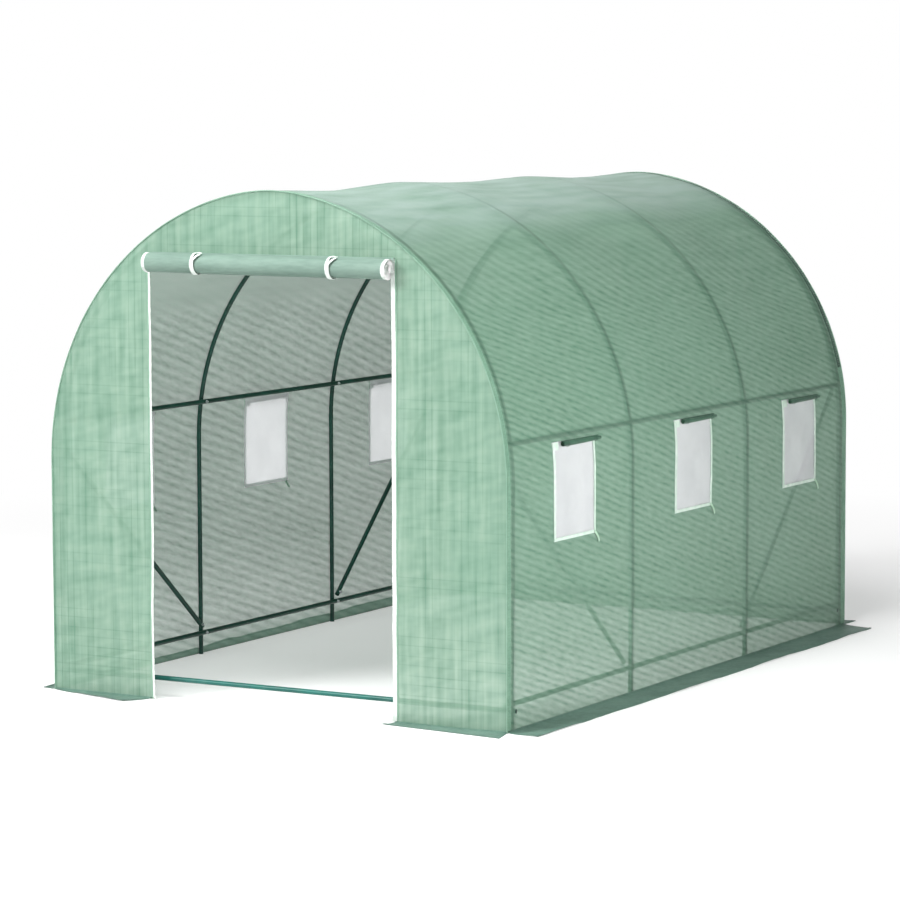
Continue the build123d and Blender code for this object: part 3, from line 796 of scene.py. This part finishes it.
# Seams where the ends are sewn to the cover: a rolled edge, a hem and stitches
seam_u = ticks([0.0, U_SPRING, U_JOIN, U_RIDGE, U_END - U_JOIN, U_END - U_SPRING, U_END], 0.016)
for name, s in (("front", -1.0), ("rear", 1.0)):
    parts = Parts()
    px, pz, nx, nz = arch(seam_u, 0.0042)
    bead = np.stack([px, np.full(px.shape, s * (HALF_L + 0.0006)), pz], -1)
    parts.tube(bead, 0.0026 + 0.0003 * noise(seam_u * 25, 0, 61), 8, 0)
    C = cover_point(seam_u, s * (HALF_L - 0.0155 - (0.004 if s > 0 else 0.0)), 0.0004)
    O = np.stack([nx, 0 * nx, nz], -1)
    # hem on the cover: dark over the rear arch, plain elsewhere
    arc = [i for i in range(len(seam_u)) if U_SPRING + 0.22 <= seam_u[i] <= U_END - U_SPRING - 0.22]
    for part, dark in ((range(0, arc[0] + 1), 0), (arc, 1), (range(arc[-1], len(seam_u)), 0)):
        part = list(part)
        parts.ribbon(C[part], (0, 1, 0), O[part], 0.022 if s < 0 else 0.030, 0.0009, 2 if (dark and s > 0) else 1)
    if s > 0:
        fx, fz, _, _ = arch(seam_u, 0.0150)
        F = np.stack([fx, np.full(fx.shape, s * (HALF_L + 0.0006)), fz], -1)
        parts.ribbon(F, O, (0, s, 0), 0.010, 0.0005, 0)
    seam = parts.done("seam_" + name, [M_SEAM, M_ROOF_HEM, M_REAR_HEM])
    soften(seam, 50)
    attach(seam, "root")
    threads = Parts()
    for dy, out, kind in ((0.0100, 0.0014, "roof"), (0.0215, 0.0014, "roof"), (0.0, 0.0, "face")):
        if s < 0 and kind == "face":
            continue
        us = np.arange(0.012, U_END - 0.01, 0.0105)
        if kind == "roof":
            A = cover_point(us - 0.0027, s * (HALF_L - dy), out)
            B = cover_point(us + 0.0027, s * (HALF_L - dy), out)
        else:
            ax, az, _, _ = arch(us - 0.0027, 0.0150)
            bx, bz, _, _ = arch(us + 0.0027, 0.0150)
            A = np.stack([ax, np.full(ax.shape, s * (HALF_L + 0.0015)), az], -1)
            B = np.stack([bx, np.full(bx.shape, s * (HALF_L + 0.0015)), bz], -1)
        for a, b in zip(A, B):
            threads.prism(a, b, 0.0006, 0.0006, 4, 0)
    thread = threads.done("stitching_" + name, [M_THREAD])
    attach(thread, "root")

# ---------------------------------------------------------------------------
# Ground flaps: the loose strips of cloth that lie on the ground round the foot
# ---------------------------------------------------------------------------
flap_pieces = []


def ground_flap(name, wall_a, wall_b, out_a, out_b, seed):
    """A strip from a line at the wall's foot to an outer edge on the ground."""
    wall_a, wall_b, out_a, out_b = (np.array(q, float) for q in (wall_a, wall_b, out_a, out_b))
    run = np.linalg.norm(wall_b - wall_a)
    n = int(run / 0.016) + 2
    t = np.linspace(0, 1, n)[:, None, None]
    v = np.concatenate([[0.0, 0.03, 0.07], np.linspace(0.13, 1.0, 11)])[None, :, None]
    A = wall_a + (wall_b - wall_a) * t
    B = out_a + (out_b - out_a) * t
    along = (t * run)[..., 0]
    out_dir = (B - A) / np.linalg.norm(B - A, axis=-1, keepdims=True)
    B = B + out_dir * (0.0045 * noise(along[..., None] * 5.0, 0, seed))
    Q = A + (B - A) * v
    depth = np.linalg.norm(B - A, axis=-1)
    d = depth * v[..., 0]
    z = 0.0009 + 0.0065 * np.exp(-d / 0.007)
    lift = np.clip(noise(along * 4.2, d * 7.0 + 1.3, seed + 1), 0, 1) * 0.0060
    lift = lift + np.clip(noise(along * 13.0, d * 11.0, seed + 2), 0, 1) * 0.0022
    z = z + lift * smooth(0.25, 1.0, v[..., 0])
    V = np.concatenate([Q, z[..., None]], -1)
    uv = np.stack([np.broadcast_to(along, z.shape), d], -1)
    piece = name.replace("ground_flap", "ground_sheet")
    ob = grid_piece(piece, V, M_FLAP, uv)
    sol = ob.modifiers.new("cloth", "SOLIDIFY")
    sol.thickness = 0.0009
    sol.offset = 1.0
    # the turned and sewn outer edge
    parts = Parts()
    edge = V[:, -1] + np.array((0, 0, 0.0007))
    inner = V[:, -2] + np.array((0, 0, 0.0007))
    side = edge - inner
    side /= np.linalg.norm(side, axis=1)[:, None]
    parts.ribbon(edge - side * 0.006, side, (0, 0, 1), 0.013, 0.0010, 0)
    hem = parts.done(piece + "_hem", [M_FLAP])
    soften(hem, 50)
    for o in (ob, hem):
        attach(o, "root")
    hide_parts(name)
    return ob


ground_flap("ground_flap_right", (0.9970, -1.500), (0.9970, 1.500), (1.1270, -1.514), (1.1480, 1.440), 71)
ground_flap("ground_flap_left", (-0.9970, 1.500), (-0.9970, -1.500), (-1.1330, 1.450), (-1.0560, -1.494), 74)
ground_flap("ground_flap_front_left", (-0.9960, -1.5005), (-0.5450, -1.5005), (-0.9850, -1.512), (-0.6000, -1.606), 77)
ground_flap("ground_flap_front_right", (0.5340, -1.5005), (0.9960, -1.5005), (0.5060, -1.5560), (1.0220, -1.608), 80)
ground_flap("ground_flap_rear", (0.9960, 1.5005), (-0.9960, 1.5005), (1.0050, 1.600), (-0.9700, 1.603), 83)

# ---------------------------------------------------------------------------
# Windows: net, white border tape, rolled and tied flap
# ---------------------------------------------------------------------------
for side_name, side in (("right", 1), ("left", -1)):
    def U(um):
        return um if side > 0 else U_END - um
    nets, flaps, count = [], [], 0
    for k, wy in enumerate(WINDOW_Y):
        y0, y1 = wy - WINDOW_W / 2, wy + WINDOW_W / 2
        u0, u1 = WINDOW_LOW, U_WIN_TOP
        tag = f"{side_name}_{k + 1}"
        # net, a little behind the cloth
        a = np.linspace(u0 - 0.006, u1 + 0.006, 30)
        b = np.linspace(y0 - 0.006, y1 + 0.006, 28)
        AA, BB = np.meshgrid(a, b, indexing="ij")
        s = np.clip((AA - u0) / (u1 - u0), 0, 1) * np.clip((u1 - AA) / (u1 - u0), 0, 1) * np.clip((BB - y0) / (y1 - y0), 0, 1) * np.clip((y1 - BB) / (y1 - y0), 0, 1)
        sag = -0.0012 - 0.05 * s * (1 + 0.5 * noise(AA * 9, BB * 9 + k, 91))
        net = grid_piece("window_net_" + tag, cover_point(U(AA), BB, sag), M_NET, np.stack([BB, AA], -1), flip=side < 0)
        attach(net, "root")
        nets.append(net)
        # border tape on the cloth round the opening
        parts = Parts()
        w = 0.021

        def border(ua, ya, ub, yb, width, lift):
            n = max(2, int(math.hypot(ub - ua, yb - ya) / 0.012))
            t = np.linspace(0, 1, n)
            uu, yy = ua + (ub - ua) * t, ya + (yb - ya) * t
            C = cover_point(U(uu), yy, lift + 0.0006 * noise(uu * 30, yy * 30, 93))
            _, _, nx, nz = arch(U(uu), 0.0)
            O = np.stack([nx, 0 * nx, nz], -1)
            if abs(yb - ya) > abs(ub - ua):
                A = np.cross(O, np.broadcast_to((0.0, 1.0, 0.0), O.shape))
            else:
                A = np.broadcast_to((0.0, 1.0, 0.0), O.shape)
            parts.ribbon(C, A, O, width, 0.0016, 0)
        ya, yb = y0 - 0.001, y1 + 0.001
        thin = 1.0 if side > 0 else 0.6
        border(u0 + 0.0040, ya, u0 + 0.0040, yb, 0.0125 * thin, 0.0006)
        border(u0 - 0.002, ya + 0.0070, u1 - 0.006, ya + 0.0070, 0.0140 * thin, 0.0014)
        border(u0 - 0.002, yb - 0.0060, u1 - 0.010, yb - 0.0060, 0.0120 * thin, 0.0014)
        # patch at the upper front corner, over the roll's end
        border(u1 - 0.030, ya + 0.0200, u1 - 0.002, ya + 0.0200, 0.040, 0.0040)
        tape = parts.done("window_border_" + tag, [M_HOOK])
        soften(tape, 50)
        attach(tape, "root")
        # rolled flap: a spiral of cloth under the window head
        ry0, ry1 = WINDOW_ROLL_Y[k] - 0.1480, WINDOW_ROLL_Y[k] + 0.1480
        xc = side * (-OFF + math.sqrt(R_SIDE ** 2 - (1.000 - SPRING) ** 2) + 0.0105)
        zc = 1.0080
        turns, per = 4.2, 24
        n = int(turns * per)
        q = np.linspace(0, 1, n + 1)
        phi = q * turns * 2 * PI - 0.35 * PI
        rad = 0.0088 - 0.0066 * q
        yy = np.linspace(ry0, ry1, 26)
        PH, Y2 = np.meshgrid(phi, yy, indexing="ij")
        RA = np.broadcast_to(rad[:, None], PH.shape)
        wob = 1 + 0.07 * noise(np.cos(PH) * 1.5 + 5, Y2 * 14 + k * 3.7, 95) + 0.05 * noise(np.sin(PH) * 1.5, Y2 * 30 + k, 96)
        ends = (smooth(0, 0.03, Y2 - ry0) * smooth(0, 0.03, ry1 - Y2)) * 0.10 + 0.90
        for strap_t in (0.12, 0.88):
            ends = ends * (1 - 0.13 * np.exp(-((Y2 - (ry0 + (ry1 - ry0) * strap_t)) / 0.010) ** 2))
        RR = RA * wob * ends * (1.16 - 0.34 * (Y2 - ry0) / (ry1 - ry0))
        droop = -0.0008 * np.sin(PI * (Y2 - ry0) / (ry1 - ry0)) + 0.0005 * noise(Y2 * 9 + k, 0, 97)
        shift = 0.0015 * noise(PH * 0.6, k + 0.0, 98) * np.where(Y2 > wy, 1, -1)
        X = xc + side * RR * np.sin(PH)
        Z = zc + RR * np.cos(PH) + droop
        SP = np.stack([X, Y2 + shift, Z], -1)
        # from the window head out over the roll
        head = []
        for f_, (dx, dz) in ((0.0, (-0.0110, 0.0105)), (0.5, (-0.0060, 0.0098))):
            head.append(np.stack([xc + side * (dx + 0 * yy), yy, zc + dz + droop[0] * f_], -1))
        SP = np.concatenate([np.array(head), SP], 0)
        roll_uv = np.stack([np.broadcast_to(yy, SP.shape[:2]), np.broadcast_to(np.linspace(0, 0.3, SP.shape[0])[:, None], SP.shape[:2])], -1)
        roll = grid_piece("window_flap_" + tag, SP, M_WROLL, roll_uv)
        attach(roll, "root")
        # the tight core of the roll, two ties round it, and the loose ends at
        # the lower corner
        ties = Parts()
        ties.prism((xc, ry0 + 0.002, zc), (xc, ry1 - 0.002, zc), 0.0084, 0.0058, 18, 0)
        for strap_t in (0.12, 0.88):
            ty = ry0 + (ry1 - ry0) * strap_t
            ph = np.linspace(-0.25 * PI, 1.55 * PI, 26)
            rr = 0.0089 * (1.16 - 0.34 * strap_t) + 0.0003 * np.sin(ph * 3)
            C = np.stack([xc + side * rr * np.sin(ph), np.full(ph.shape, ty), zc + rr * np.cos(ph) - 0.0006], -1)
            O = np.stack([side * np.sin(ph), 0 * ph, np.cos(ph)], -1)
            ties.ribbon(C, (0, 1, 0), O, 0.010, 0.0008, 0)
        q = np.linspace(0, 1, 9)
        uu = WINDOW_LOW + 0.006 - 0.044 * q
        yy2 = y1 - 0.010 + 0.036 * q
        C = cover_point(U(uu), yy2, 0.0035 + 0.004 * np.sin(PI * q))
        _, _, nx, nz = arch(U(uu), 0.0)
        O = np.stack([nx, 0 * nx, nz], -1)
        T = np.gradient(C, axis=0)
        A = np.cross(O, T)
        A /= np.linalg.norm(A, axis=1)[:, None]
        ties.ribbon(C, A, O, 0.010, 0.0010, 1)
        tie = ties.done("window_ties_" + tag, [M_WROLL, M_TIE])
        soften(tie, 50)
        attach(tie, "root")
        flaps.append(roll)
        if k == 0:
            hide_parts("window_screens_" + side_name)
            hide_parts("window_flaps_" + side_name)

# ---------------------------------------------------------------------------
# Door: rolled sheet, straps, zips
# ---------------------------------------------------------------------------
ROLL_Y, ROLL_Z = -1.543, 1.658
ROLL_L, ROLL_R = -0.518, 0.538
STRAP_X = (-0.292, 0.297)
per, turns = 44, 7.6
n = int(per * turns)
q = np.linspace(0, 1, n + 1)
phi = -0.30 * PI + q * turns * 2 * PI
rad = 0.0384 - 0.0320 * q
xs = ticks([ROLL_L, ROLL_L + 0.013, STRAP_X[0], STRAP_X[1], ROLL_R - 0.015, ROLL_R], 0.0150)
PH, XX = np.meshgrid(phi, xs, indexing="ij")
QQ = np.broadcast_to(q[:, None], PH.shape)
RR = np.broadcast_to(rad[:, None], PH.shape).copy()
RR = RR * (1 + 0.018 * noise(np.cos(PH) * 1.6 + 9, XX * 5.0, 101) + 0.016 * noise(np.sin(PH) * 1.6 + 2, XX * 7.0 + 4, 102))
RR = RR * (1 + 0.008 * noise(PH * 1.1, XX * 16, 103))
for sx in STRAP_X:
    RR = RR * (1 - 0.055 * np.exp(-((XX - sx) / 0.020) ** 2))
mid = -0.0018 * XX / 0.53 - 0.0012 * np.sin(PI * (XX - ROLL_L) / (ROLL_R - ROLL_L)) + 0.0010 * noise(XX * 3.0, 0, 104)
Yr = ROLL_Y - RR * np.sin(PH)
Zr = ROLL_Z + RR * np.cos(PH) + mid
endside = np.where(XX < 0, -1.0, 1.0)
near_end = smooth(0.10, 0.0, np.minimum(XX - ROLL_L, ROLL_R - XX))
Xr = XX + near_end * 0.0035 * noise(PH * 0.5, endside * 3, 105)
SP = np.stack([Xr, Yr, Zr], -1)
# the sheet leaves the header above the roll
lead = []
for f_, yl, zl in ((0, -1.5022, 1.6980), (1, -1.5060, 1.6970), (2, -1.5110, 1.6955)):
    wob = 0.0010 * noise(xs * 9.0 + f_, 0, 106) * f_
    lead.append(np.stack([xs, np.full(xs.shape, yl) + wob, np.full(xs.shape, zl) + wob], -1))
SP = np.concatenate([np.array(lead), SP], 0)
seg = np.linalg.norm(np.diff(SP[:, SP.shape[1] // 2], axis=0), axis=1)
run = np.concatenate([[0], np.cumsum(seg)])
uv = np.stack([np.broadcast_to(xs, SP.shape[:2]), np.broadcast_to(run[:, None], SP.shape[:2])], -1)
col = (xs[:-1] + xs[1:]) / 2
is_tape = (col < ROLL_L + 0.014) | (col > ROLL_R - 0.015)
mat_index = np.broadcast_to(is_tape[None, :], (SP.shape[0] - 1, len(col))).astype(int)
mat_index = np.where(np.arange(SP.shape[0] - 1)[:, None] < 3, 0, mat_index).ravel()
door_roll = grid_piece("door_sheet_rolled", SP, [M_DOOR, M_TAPE], uv, mat_index=mat_index)
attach(door_roll, "root")

# wound edges of the sheet that close both ends of the roll
roll_ends = Parts()
for sgn, xe in ((-1.0, ROLL_L + 0.0030), (1.0, ROLL_R - 0.0025)):
    ga = np.arange(64) * 2 * PI / 64
    gr = np.linspace(0.0, 1.0, 30)
    GR, GA = np.meshgrid(gr, ga, indexing="ij")
    turn = GR * 7.6 + sgn * GA / (2 * PI)
    edge_of = np.cos(2 * PI * turn)
    crumple = noise(GR * 4.0 * np.cos(GA) + 3, GR * 4.0 * np.sin(GA), 141 if sgn > 0 else 142)
    depth = 0.0004 * edge_of * smooth(0.08, 0.3, GR) + 0.0008 * crumple - 0.0025 * smooth(0.84, 1.0, GR)
    rd = 0.0374 * GR
    V = np.stack([xe + sgn * depth, ROLL_Y - rd * np.sin(GA), ROLL_Z + rd * np.cos(GA) - 0.0018 * xe / 0.53 - 0.0004], -1)
    f_ = []
    for i in range(29):
        for j in range(64):
            j2 = (j + 1) % 64
            f_.append((i * 64 + j, i * 64 + j2, (i + 1) * 64 + j2, (i + 1) * 64 + j))
    roll_ends.add(V, f_, 0)
roll_end_ob = roll_ends.done("door_roll_ends", [M_DOOR_END])
soften(roll_end_ob, 60)
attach(roll_end_ob, "root")
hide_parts("door_roll")

straps = Parts()
for sx in STRAP_X:
    drop = -0.0018 * sx / 0.53
    ph = np.linspace(0.02 * PI, 1.62 * PI, 52)
    rr = 0.0384 + 0.0005 * noise(ph * 1.3, sx * 9, 111)
    C = np.stack([sx + 0.0010 * noise(ph * 0.9, sx * 5, 112), ROLL_Y - rr * np.sin(ph), ROLL_Z + rr * np.cos(ph) + drop - 0.0012], -1)
    O = np.stack([0 * ph, -np.sin(ph), np.cos(ph)], -1)
    straps.ribbon(C, (1, 0, 0), O, 0.0175, 0.0016, 0)
    # the loop at the strap's end, lying on the upper front of the roll: a
    # small ring with an opening, and two arms that meet below it
    def on_roll(dx, deg, lift):
        a_ = np.radians(np.asarray(deg, float))
        r_ = 0.0395 + lift
        return np.stack([sx + np.asarray(dx, float), ROLL_Y - r_ * np.sin(a_), ROLL_Z + r_ * np.cos(a_) + drop], -1)
    for dx0, dx1, d0, d1, wd in ((0.029, 0.004, 30.0, 74.0, 0.0090), (0.004, 0.000, 14.0, 60.0, 0.0110), (0.002, 0.031, 16.0, 20.0, 0.0070)):
        q3 = np.linspace(0, 1, 12)
        deg = d0 + (d1 - d0) * q3
        arm = on_roll(dx0 + (dx1 - dx0) * q3, deg, 0.0030 + 0.0016 * np.sin(PI * q3))
        out = np.stack([0 * q3, -np.sin(np.radians(deg)), np.cos(np.radians(deg))], -1)
        side_dir = np.cross(out, np.gradient(arm, axis=0))
        side_dir /= np.linalg.norm(side_dir, axis=1)[:, None]
        straps.ribbon(arm, side_dir, out, wd, 0.0015, 0)
    pad = on_roll([0.006, 0.022], [34, 34], 0.0014)
    straps.prism(pad[0], pad[1], 0.0030, 0.0030, 10, 1)
strap_ob = straps.done("door_tie_straps", [M_WHITE, M_CAP])
soften(strap_ob, 45)
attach(strap_ob, "root")
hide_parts("door_straps")

zips = Parts()
for s, width, z_end in ((-1.0, 0.0090, 1.650), (1.0, 0.0165, 1.694)):
    zz = ticks([0.006, 1.60, z_end], 0.014)
    xx = np.full(zz.shape, s * 0.530 + (-0.0035 if s < 0 else 0.0010))
    out = door_wave(xx, zz)
    out = out + 0.0030 * smooth(1.50, 1.62, zz)
    C = np.stack([xx + 0.0004 * noise(zz * 12, s, 121), -(HALF_L + out + 0.0006), zz], -1)
    zips.ribbon(C, (1, 0, 0), (0, -1, 0), width, 0.0010, 0)
    # sewn fold beside the tape, on the sheet
    C2 = np.stack([xx + s * (width / 2 + 0.0035), -(HALF_L + out + 0.0004), zz], -1)
    zips.ribbon(C2, (1, 0, 0), (0, -1, 0), 0.007, 0.0006, 2)
    # teeth on the doorway side
    tz = np.arange(0.010, 1.60, 0.0042)
    tx = np.full(tz.shape, xx[0] - s * (width / 2 - 0.0008))
    to = door_wave(np.full(tz.shape, s * 0.530), tz)
    for k, (a, b, c) in enumerate(zip(tx, tz, to)):
        zips.block((a, -(HALF_L + c + 0.0013), b), (0.0012, 0, 0), (0, 0.0010, 0), (0, 0, 0.0012), 1)
    zips.block((xx[0] - s * (width / 2), -(HALF_L + to[0] + 0.002), 0.0075), (0.005, 0, 0), (0, 0.002, 0), (0, 0, 0.0045), 1, 0.8)
zip_ob = zips.done("door_zip_tapes", [M_TAPE, M_TEETH, M_SEAM])
soften(zip_ob, 45)
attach(zip_ob, "root")
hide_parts("door_zips")

header_join = Parts()
C = np.stack([xs, np.full(xs.shape, -(HALF_L + 0.0042)), np.full(xs.shape, 1.6880) + 0.0004 * noise(xs * 20, 0, 131)], -1)
header_join.ribbon(C, (0, 0, 1), (0, -1, 0), 0.012, 0.0008, 0)
for k in range(int((ROLL_R - ROLL_L) / 0.0105)):
    xk = ROLL_L + 0.006 + k * 0.0105
    header_join.prism((xk, -(HALF_L + 0.0052), 1.6905), (xk + 0.0054, -(HALF_L + 0.0052), 1.6905), 0.0006, 0.0006, 4, 1)
header_ob = header_join.done("door_head_seam", [M_SEAM, M_THREAD])
soften(header_ob, 50)
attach(header_ob, "root")

# ---------------------------------------------------------------------------
# Names of the four hoops
# ---------------------------------------------------------------------------
hoops = ["hoop_front", "hoop_second", "hoop_third", "hoop_rear"]

# ---------------------------------------------------------------------------
# Frame: painted tubes, couplings, end caps and bolts
# ---------------------------------------------------------------------------
for name in hoops + ["legs_left", "legs_right", "mid_rail_left", "mid_rail_right",
                     "bottom_rail_left", "bottom_rail_right", "bottom_rail_front", "bottom_rail_rear",
                     "brace_left_front", "brace_left_rear", "brace_right_front", "brace_right_rear"]:
    ob = nodes[name]
    ob.data.materials.clear()
    # the front bottom rail takes the lighter, painted-light copy of the tube paint
    ob.data.materials.append(M_TUBE_LIT if name == "bottom_rail_front" else M_TUBE)

couplings = Parts()
SLEEVE = [HOOP_R, HOOP_R + 0.00042, HOOP_R + 0.0005, HOOP_R + 0.0005, HOOP_R + 0.0005, HOOP_R + 0.00042, HOOP_R]
for hy in HOOP_Y:
    for side in (1, -1):
        # where the leg slides into the bent tube, and where the bent pieces meet
        for um in (U_SPRING, U_JOIN):
            us = np.linspace(um - 0.016, um + 0.016, 7)
            ux, uz, _, _ = arch(us if side > 0 else U_END - us, HOOP_INSET)
            path = np.stack([ux, np.full(ux.shape, hy), uz], -1)
            couplings.tube(path, SLEEVE, 20, 0)
    ux, uz, _, _ = arch(np.linspace(U_RIDGE - 0.016, U_RIDGE + 0.016, 7), HOOP_INSET)
    couplings.tube(np.stack([ux, np.full(ux.shape, hy), uz], -1), SLEEVE, 20, 0)
MID_Z, LOW_Z, END_Z = 1.039, 0.091, 0.070
END_Y = HOOP_Y[3] - HOOP_R - RAIL_R - 0.0003
mid_x = -OFF + math.sqrt((R_SIDE - HOOP_INSET) ** 2 - (MID_Z - SPRING) ** 2) - HOOP_R - RAIL_R - 0.0009
low_x = HALF_W - HOOP_INSET - HOOP_R - RAIL_R - 0.0003
for side in (1, -1):
    for yj in (-0.56, 0.57):
        for xr, zr in ((mid_x, MID_Z), (low_x, LOW_Z)):
            couplings.prism((side * xr, yj - 0.015, zr), (side * xr, yj + 0.015, zr), 0.0099, 0.0099, 20, 0)
    for ye in (-1.459, 1.459):
        for xr, zr in ((mid_x, MID_Z), (low_x, LOW_Z)):
            couplings.prism((side * xr, ye, zr), (side * xr, ye + (0.0015 if ye > 0 else -0.0015), zr), 0.0094, 0.0080, 20, 1)
for s in (1, -1):
    for xe in (-0.9945, 0.9945):
        couplings.prism((xe, s * END_Y, END_Z), (xe + (0.0012 if xe > 0 else -0.0012), s * END_Y, END_Z), 0.0094, 0.0080, 20, 1)
coupling_ob = couplings.done("tube_couplings", [M_TUBE, M_CAP])
soften(coupling_ob, 50)
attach(coupling_ob, "root")

bolts = Parts()


def bolt(head, into, long=0.026):
    """Round washer, hex nut and threaded end at head, pointing along into."""
    head, into = np.array(head, float), np.array(into, float)
    into /= np.linalg.norm(into)
    bolts.prism(head, head + into * 0.0012, 0.0066, 0.0066, 18)
    bolts.prism(head + into * 0.0012, head + into * 0.0058, 0.0054, 0.0054, 6)
    bolts.prism(head + into * 0.0058, head + into * 0.0086, 0.0029, 0.0026, 12)


for side in (1, -1):
    for hy in HOOP_Y:
        bolt((side * (mid_x - 0.0093), hy, MID_Z), (-side, 0, 0))
        bolt((side * (low_x - 0.0093), hy, LOW_Z), (-side, 0, 0))
    for s in (1, -1):
        bolt((side * (HALF_W - HOOP_INSET), s * (END_Y - 0.0093), END_Z), (0, -s, 0))
    # brace ends
    for ya, za in ((-0.534, 0.1285), (0.539, 0.1290), (-1.436, 0.9055)):
        bolt((side * (low_x - 0.0093), ya, za), (-side, 0, 0))
    bolt((side * (mid_x - 0.0086), 1.428, 1.0000), (-side, 0, 0))
bolt_ob = bolts.done("frame_bolts", [M_BOLT])
soften(bolt_ob, 40)
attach(bolt_ob, "root")

# ---------------------------------------------------------------------------
# Floor, light and camera
# ---------------------------------------------------------------------------
ring_n, rads = 72, [0.0, 1.5, 3.0, 5.0, 8.0, 14.0, 40.0, 120.0]
fv, ff = [(0.0, 0.0, -0.0004)], []
for r in rads[1:]:
    for k in range(ring_n):
        t = 2 * PI * k / ring_n
        fv.append((r * math.cos(t), r * math.sin(t), -0.0004))
for k in range(ring_n):
    ff.append((0, 1 + k, 1 + (k + 1) % ring_n))
for i in range(1, len(rads) - 1):
    a, b = 1 + (i - 1) * ring_n, 1 + i * ring_n
    for k in range(ring_n):
        ff.append((a + k, b + k, b + (k + 1) % ring_n, a + (k + 1) % ring_n))
N = Nodes("studio_floor")
pos = N.add("ShaderNodeTexCoord").outputs["Object"]
dist = N.add("ShaderNodeVectorMath", operation="LENGTH")
N.link(pos, dist.inputs[0])
far = N.ramp(dist.outputs["Value"], 2.6, 6.5, 0.30, 1.0)
grain = N.noise(pos, 1.3, 3.0)
diff = N.principled(N.mix(grain, (0.93, 0.93, 0.93), (0.96, 0.96, 0.96)), 0.9, spec=0.0)
em = N.add("ShaderNodeEmission")
em.inputs["Color"].default_value = (1, 1, 1, 1)
em.inputs["Strength"].default_value = 1.0
mx = N.add("ShaderNodeMixShader")
N.put(mx.inputs[0], far)
N.link(diff, mx.inputs[1])
N.link(em.outputs[0], mx.inputs[2])
floor = make("studio_floor", fv, ff, N.surface(mx.outputs[0]))

world = bpy.data.worlds.new("studio")
scene.world = world
world.use_nodes = True
wt = world.node_tree
wt.nodes.clear()
wo = wt.nodes.new("ShaderNodeOutputWorld")
lp = wt.nodes.new("ShaderNodeLightPath")
shown = wt.nodes.new("ShaderNodeBackground")
shown.inputs["Color"].default_value = (1, 1, 1, 1)
shown.inputs["Strength"].default_value = 1.0
sky = wt.nodes.new("ShaderNodeBackground")
sky.inputs["Color"].default_value = (1, 1, 1, 1)
# soft light round the set: broad from the left, weaker from the rear
toward = wt.nodes.new("ShaderNodeTexCoord").outputs["Generated"]
lobes = None
for direction, power in (((-1.0, 0.0, 0.0), 1.5), ((0.0, 1.0, 0.0), 0.2)):
    dot = wt.nodes.new("ShaderNodeVectorMath")
    dot.operation = "DOT_PRODUCT"
    wt.links.new(toward, dot.inputs[0])
    dot.inputs[1].default_value = direction
    lobe = wt.nodes.new("ShaderNodeMath")
    lobe.operation = "MAXIMUM"
    wt.links.new(dot.outputs["Value"], lobe.inputs[0])
    lobe.inputs[1].default_value = 0.0
    term = wt.nodes.new("ShaderNodeMath")
    term.operation = "MULTIPLY"
    wt.links.new(lobe.outputs[0], term.inputs[0])
    term.inputs[1].default_value = power
    if lobes is None:
        lobes = term.outputs[0]
    else:
        both = wt.nodes.new("ShaderNodeMath")
        both.operation = "ADD"
        wt.links.new(lobes, both.inputs[0])
        wt.links.new(term.outputs[0], both.inputs[1])
        lobes = both.outputs[0]
wt.links.new(lobes, sky.inputs["Strength"])
wm = wt.nodes.new("ShaderNodeMixShader")
wt.links.new(lp.outputs["Is Camera Ray"], wm.inputs[0])
wt.links.new(sky.outputs[0], wm.inputs[1])
wt.links.new(shown.outputs[0], wm.inputs[2])
wt.links.new(wm.outputs[0], wo.inputs["Surface"])


def area_light(name, place, target, size, power, color=(1, 1, 1)):
    data = bpy.data.lights.new(name, "AREA")
    data.shape = "DISK"
    data.size = size
    data.energy = power
    data.color = color
    ob = bpy.data.objects.new(name, data)
    scene.collection.objects.link(ob)
    ob.location = place
    ob.rotation_euler = (Vector(target) - Vector(place)).to_track_quat("-Z", "Y").to_euler()
    ob.visible_camera = False
    return ob


area_light("key", (-5.0, -10.0, 7.5), (0, 0, 0.9), 5.0, 1427.0)
area_light("top_front", (0.5, -4.0, 8.0), (0, -0.5, 1.5), 4.0, 600.0)
area_light("top", (1.0, 1.0, 9.0), (0, 0, 1.0), 7.0, 40.0)
area_light("side", (4.0, -1.8, 1.5), (1.0, -1.2, 1.0), 2.0, 98.0)
area_light("side_far", (5.8, -3.2, 2.4), (1.0, -1.0, 1.0), 3.0, 27.0)

cam_data = bpy.data.cameras.new("camera")
cam = bpy.data.objects.new("camera", cam_data)
scene.collection.objects.link(cam)
cam_data.sensor_fit = "HORIZONTAL"
cam_data.sensor_width = 36.0
cam_data.lens = 144.463
cam_data.clip_end = 500.0
az, el, roll_ = math.radians(29.82049), math.radians(5.78779), math.radians(-0.17498)
back = Vector((math.sin(az) * math.cos(el), -math.cos(az) * math.cos(el), math.sin(el)))
right = Vector((math.cos(az), math.sin(az), 0.0))
up = back.cross(right)
r2 = right * math.cos(roll_) + up * math.sin(roll_)
u2 = -right * math.sin(roll_) + up * math.cos(roll_)
m = Matrix.Identity(4)
for i in range(3):
    m[i][0], m[i][1], m[i][2] = r2[i], u2[i], back[i]
m[0][3], m[1][3], m[2][3] = 7.18130871, -12.69743583, 2.32006878
cam.matrix_world = m
scene.camera = cam

scene.view_settings.view_transform = "Standard"
scene.view_settings.look = "None"
scene.view_settings.exposure = 0.0
scene.view_settings.gamma = 1.0
scene.cycles.transparent_max_bounces = 8
scene.cycles.max_bounces = 4
scene.cycles.diffuse_bounces = 2
scene.cycles.transmission_bounces = 4
scene.cycles.sample_clamp_indirect = 4.0
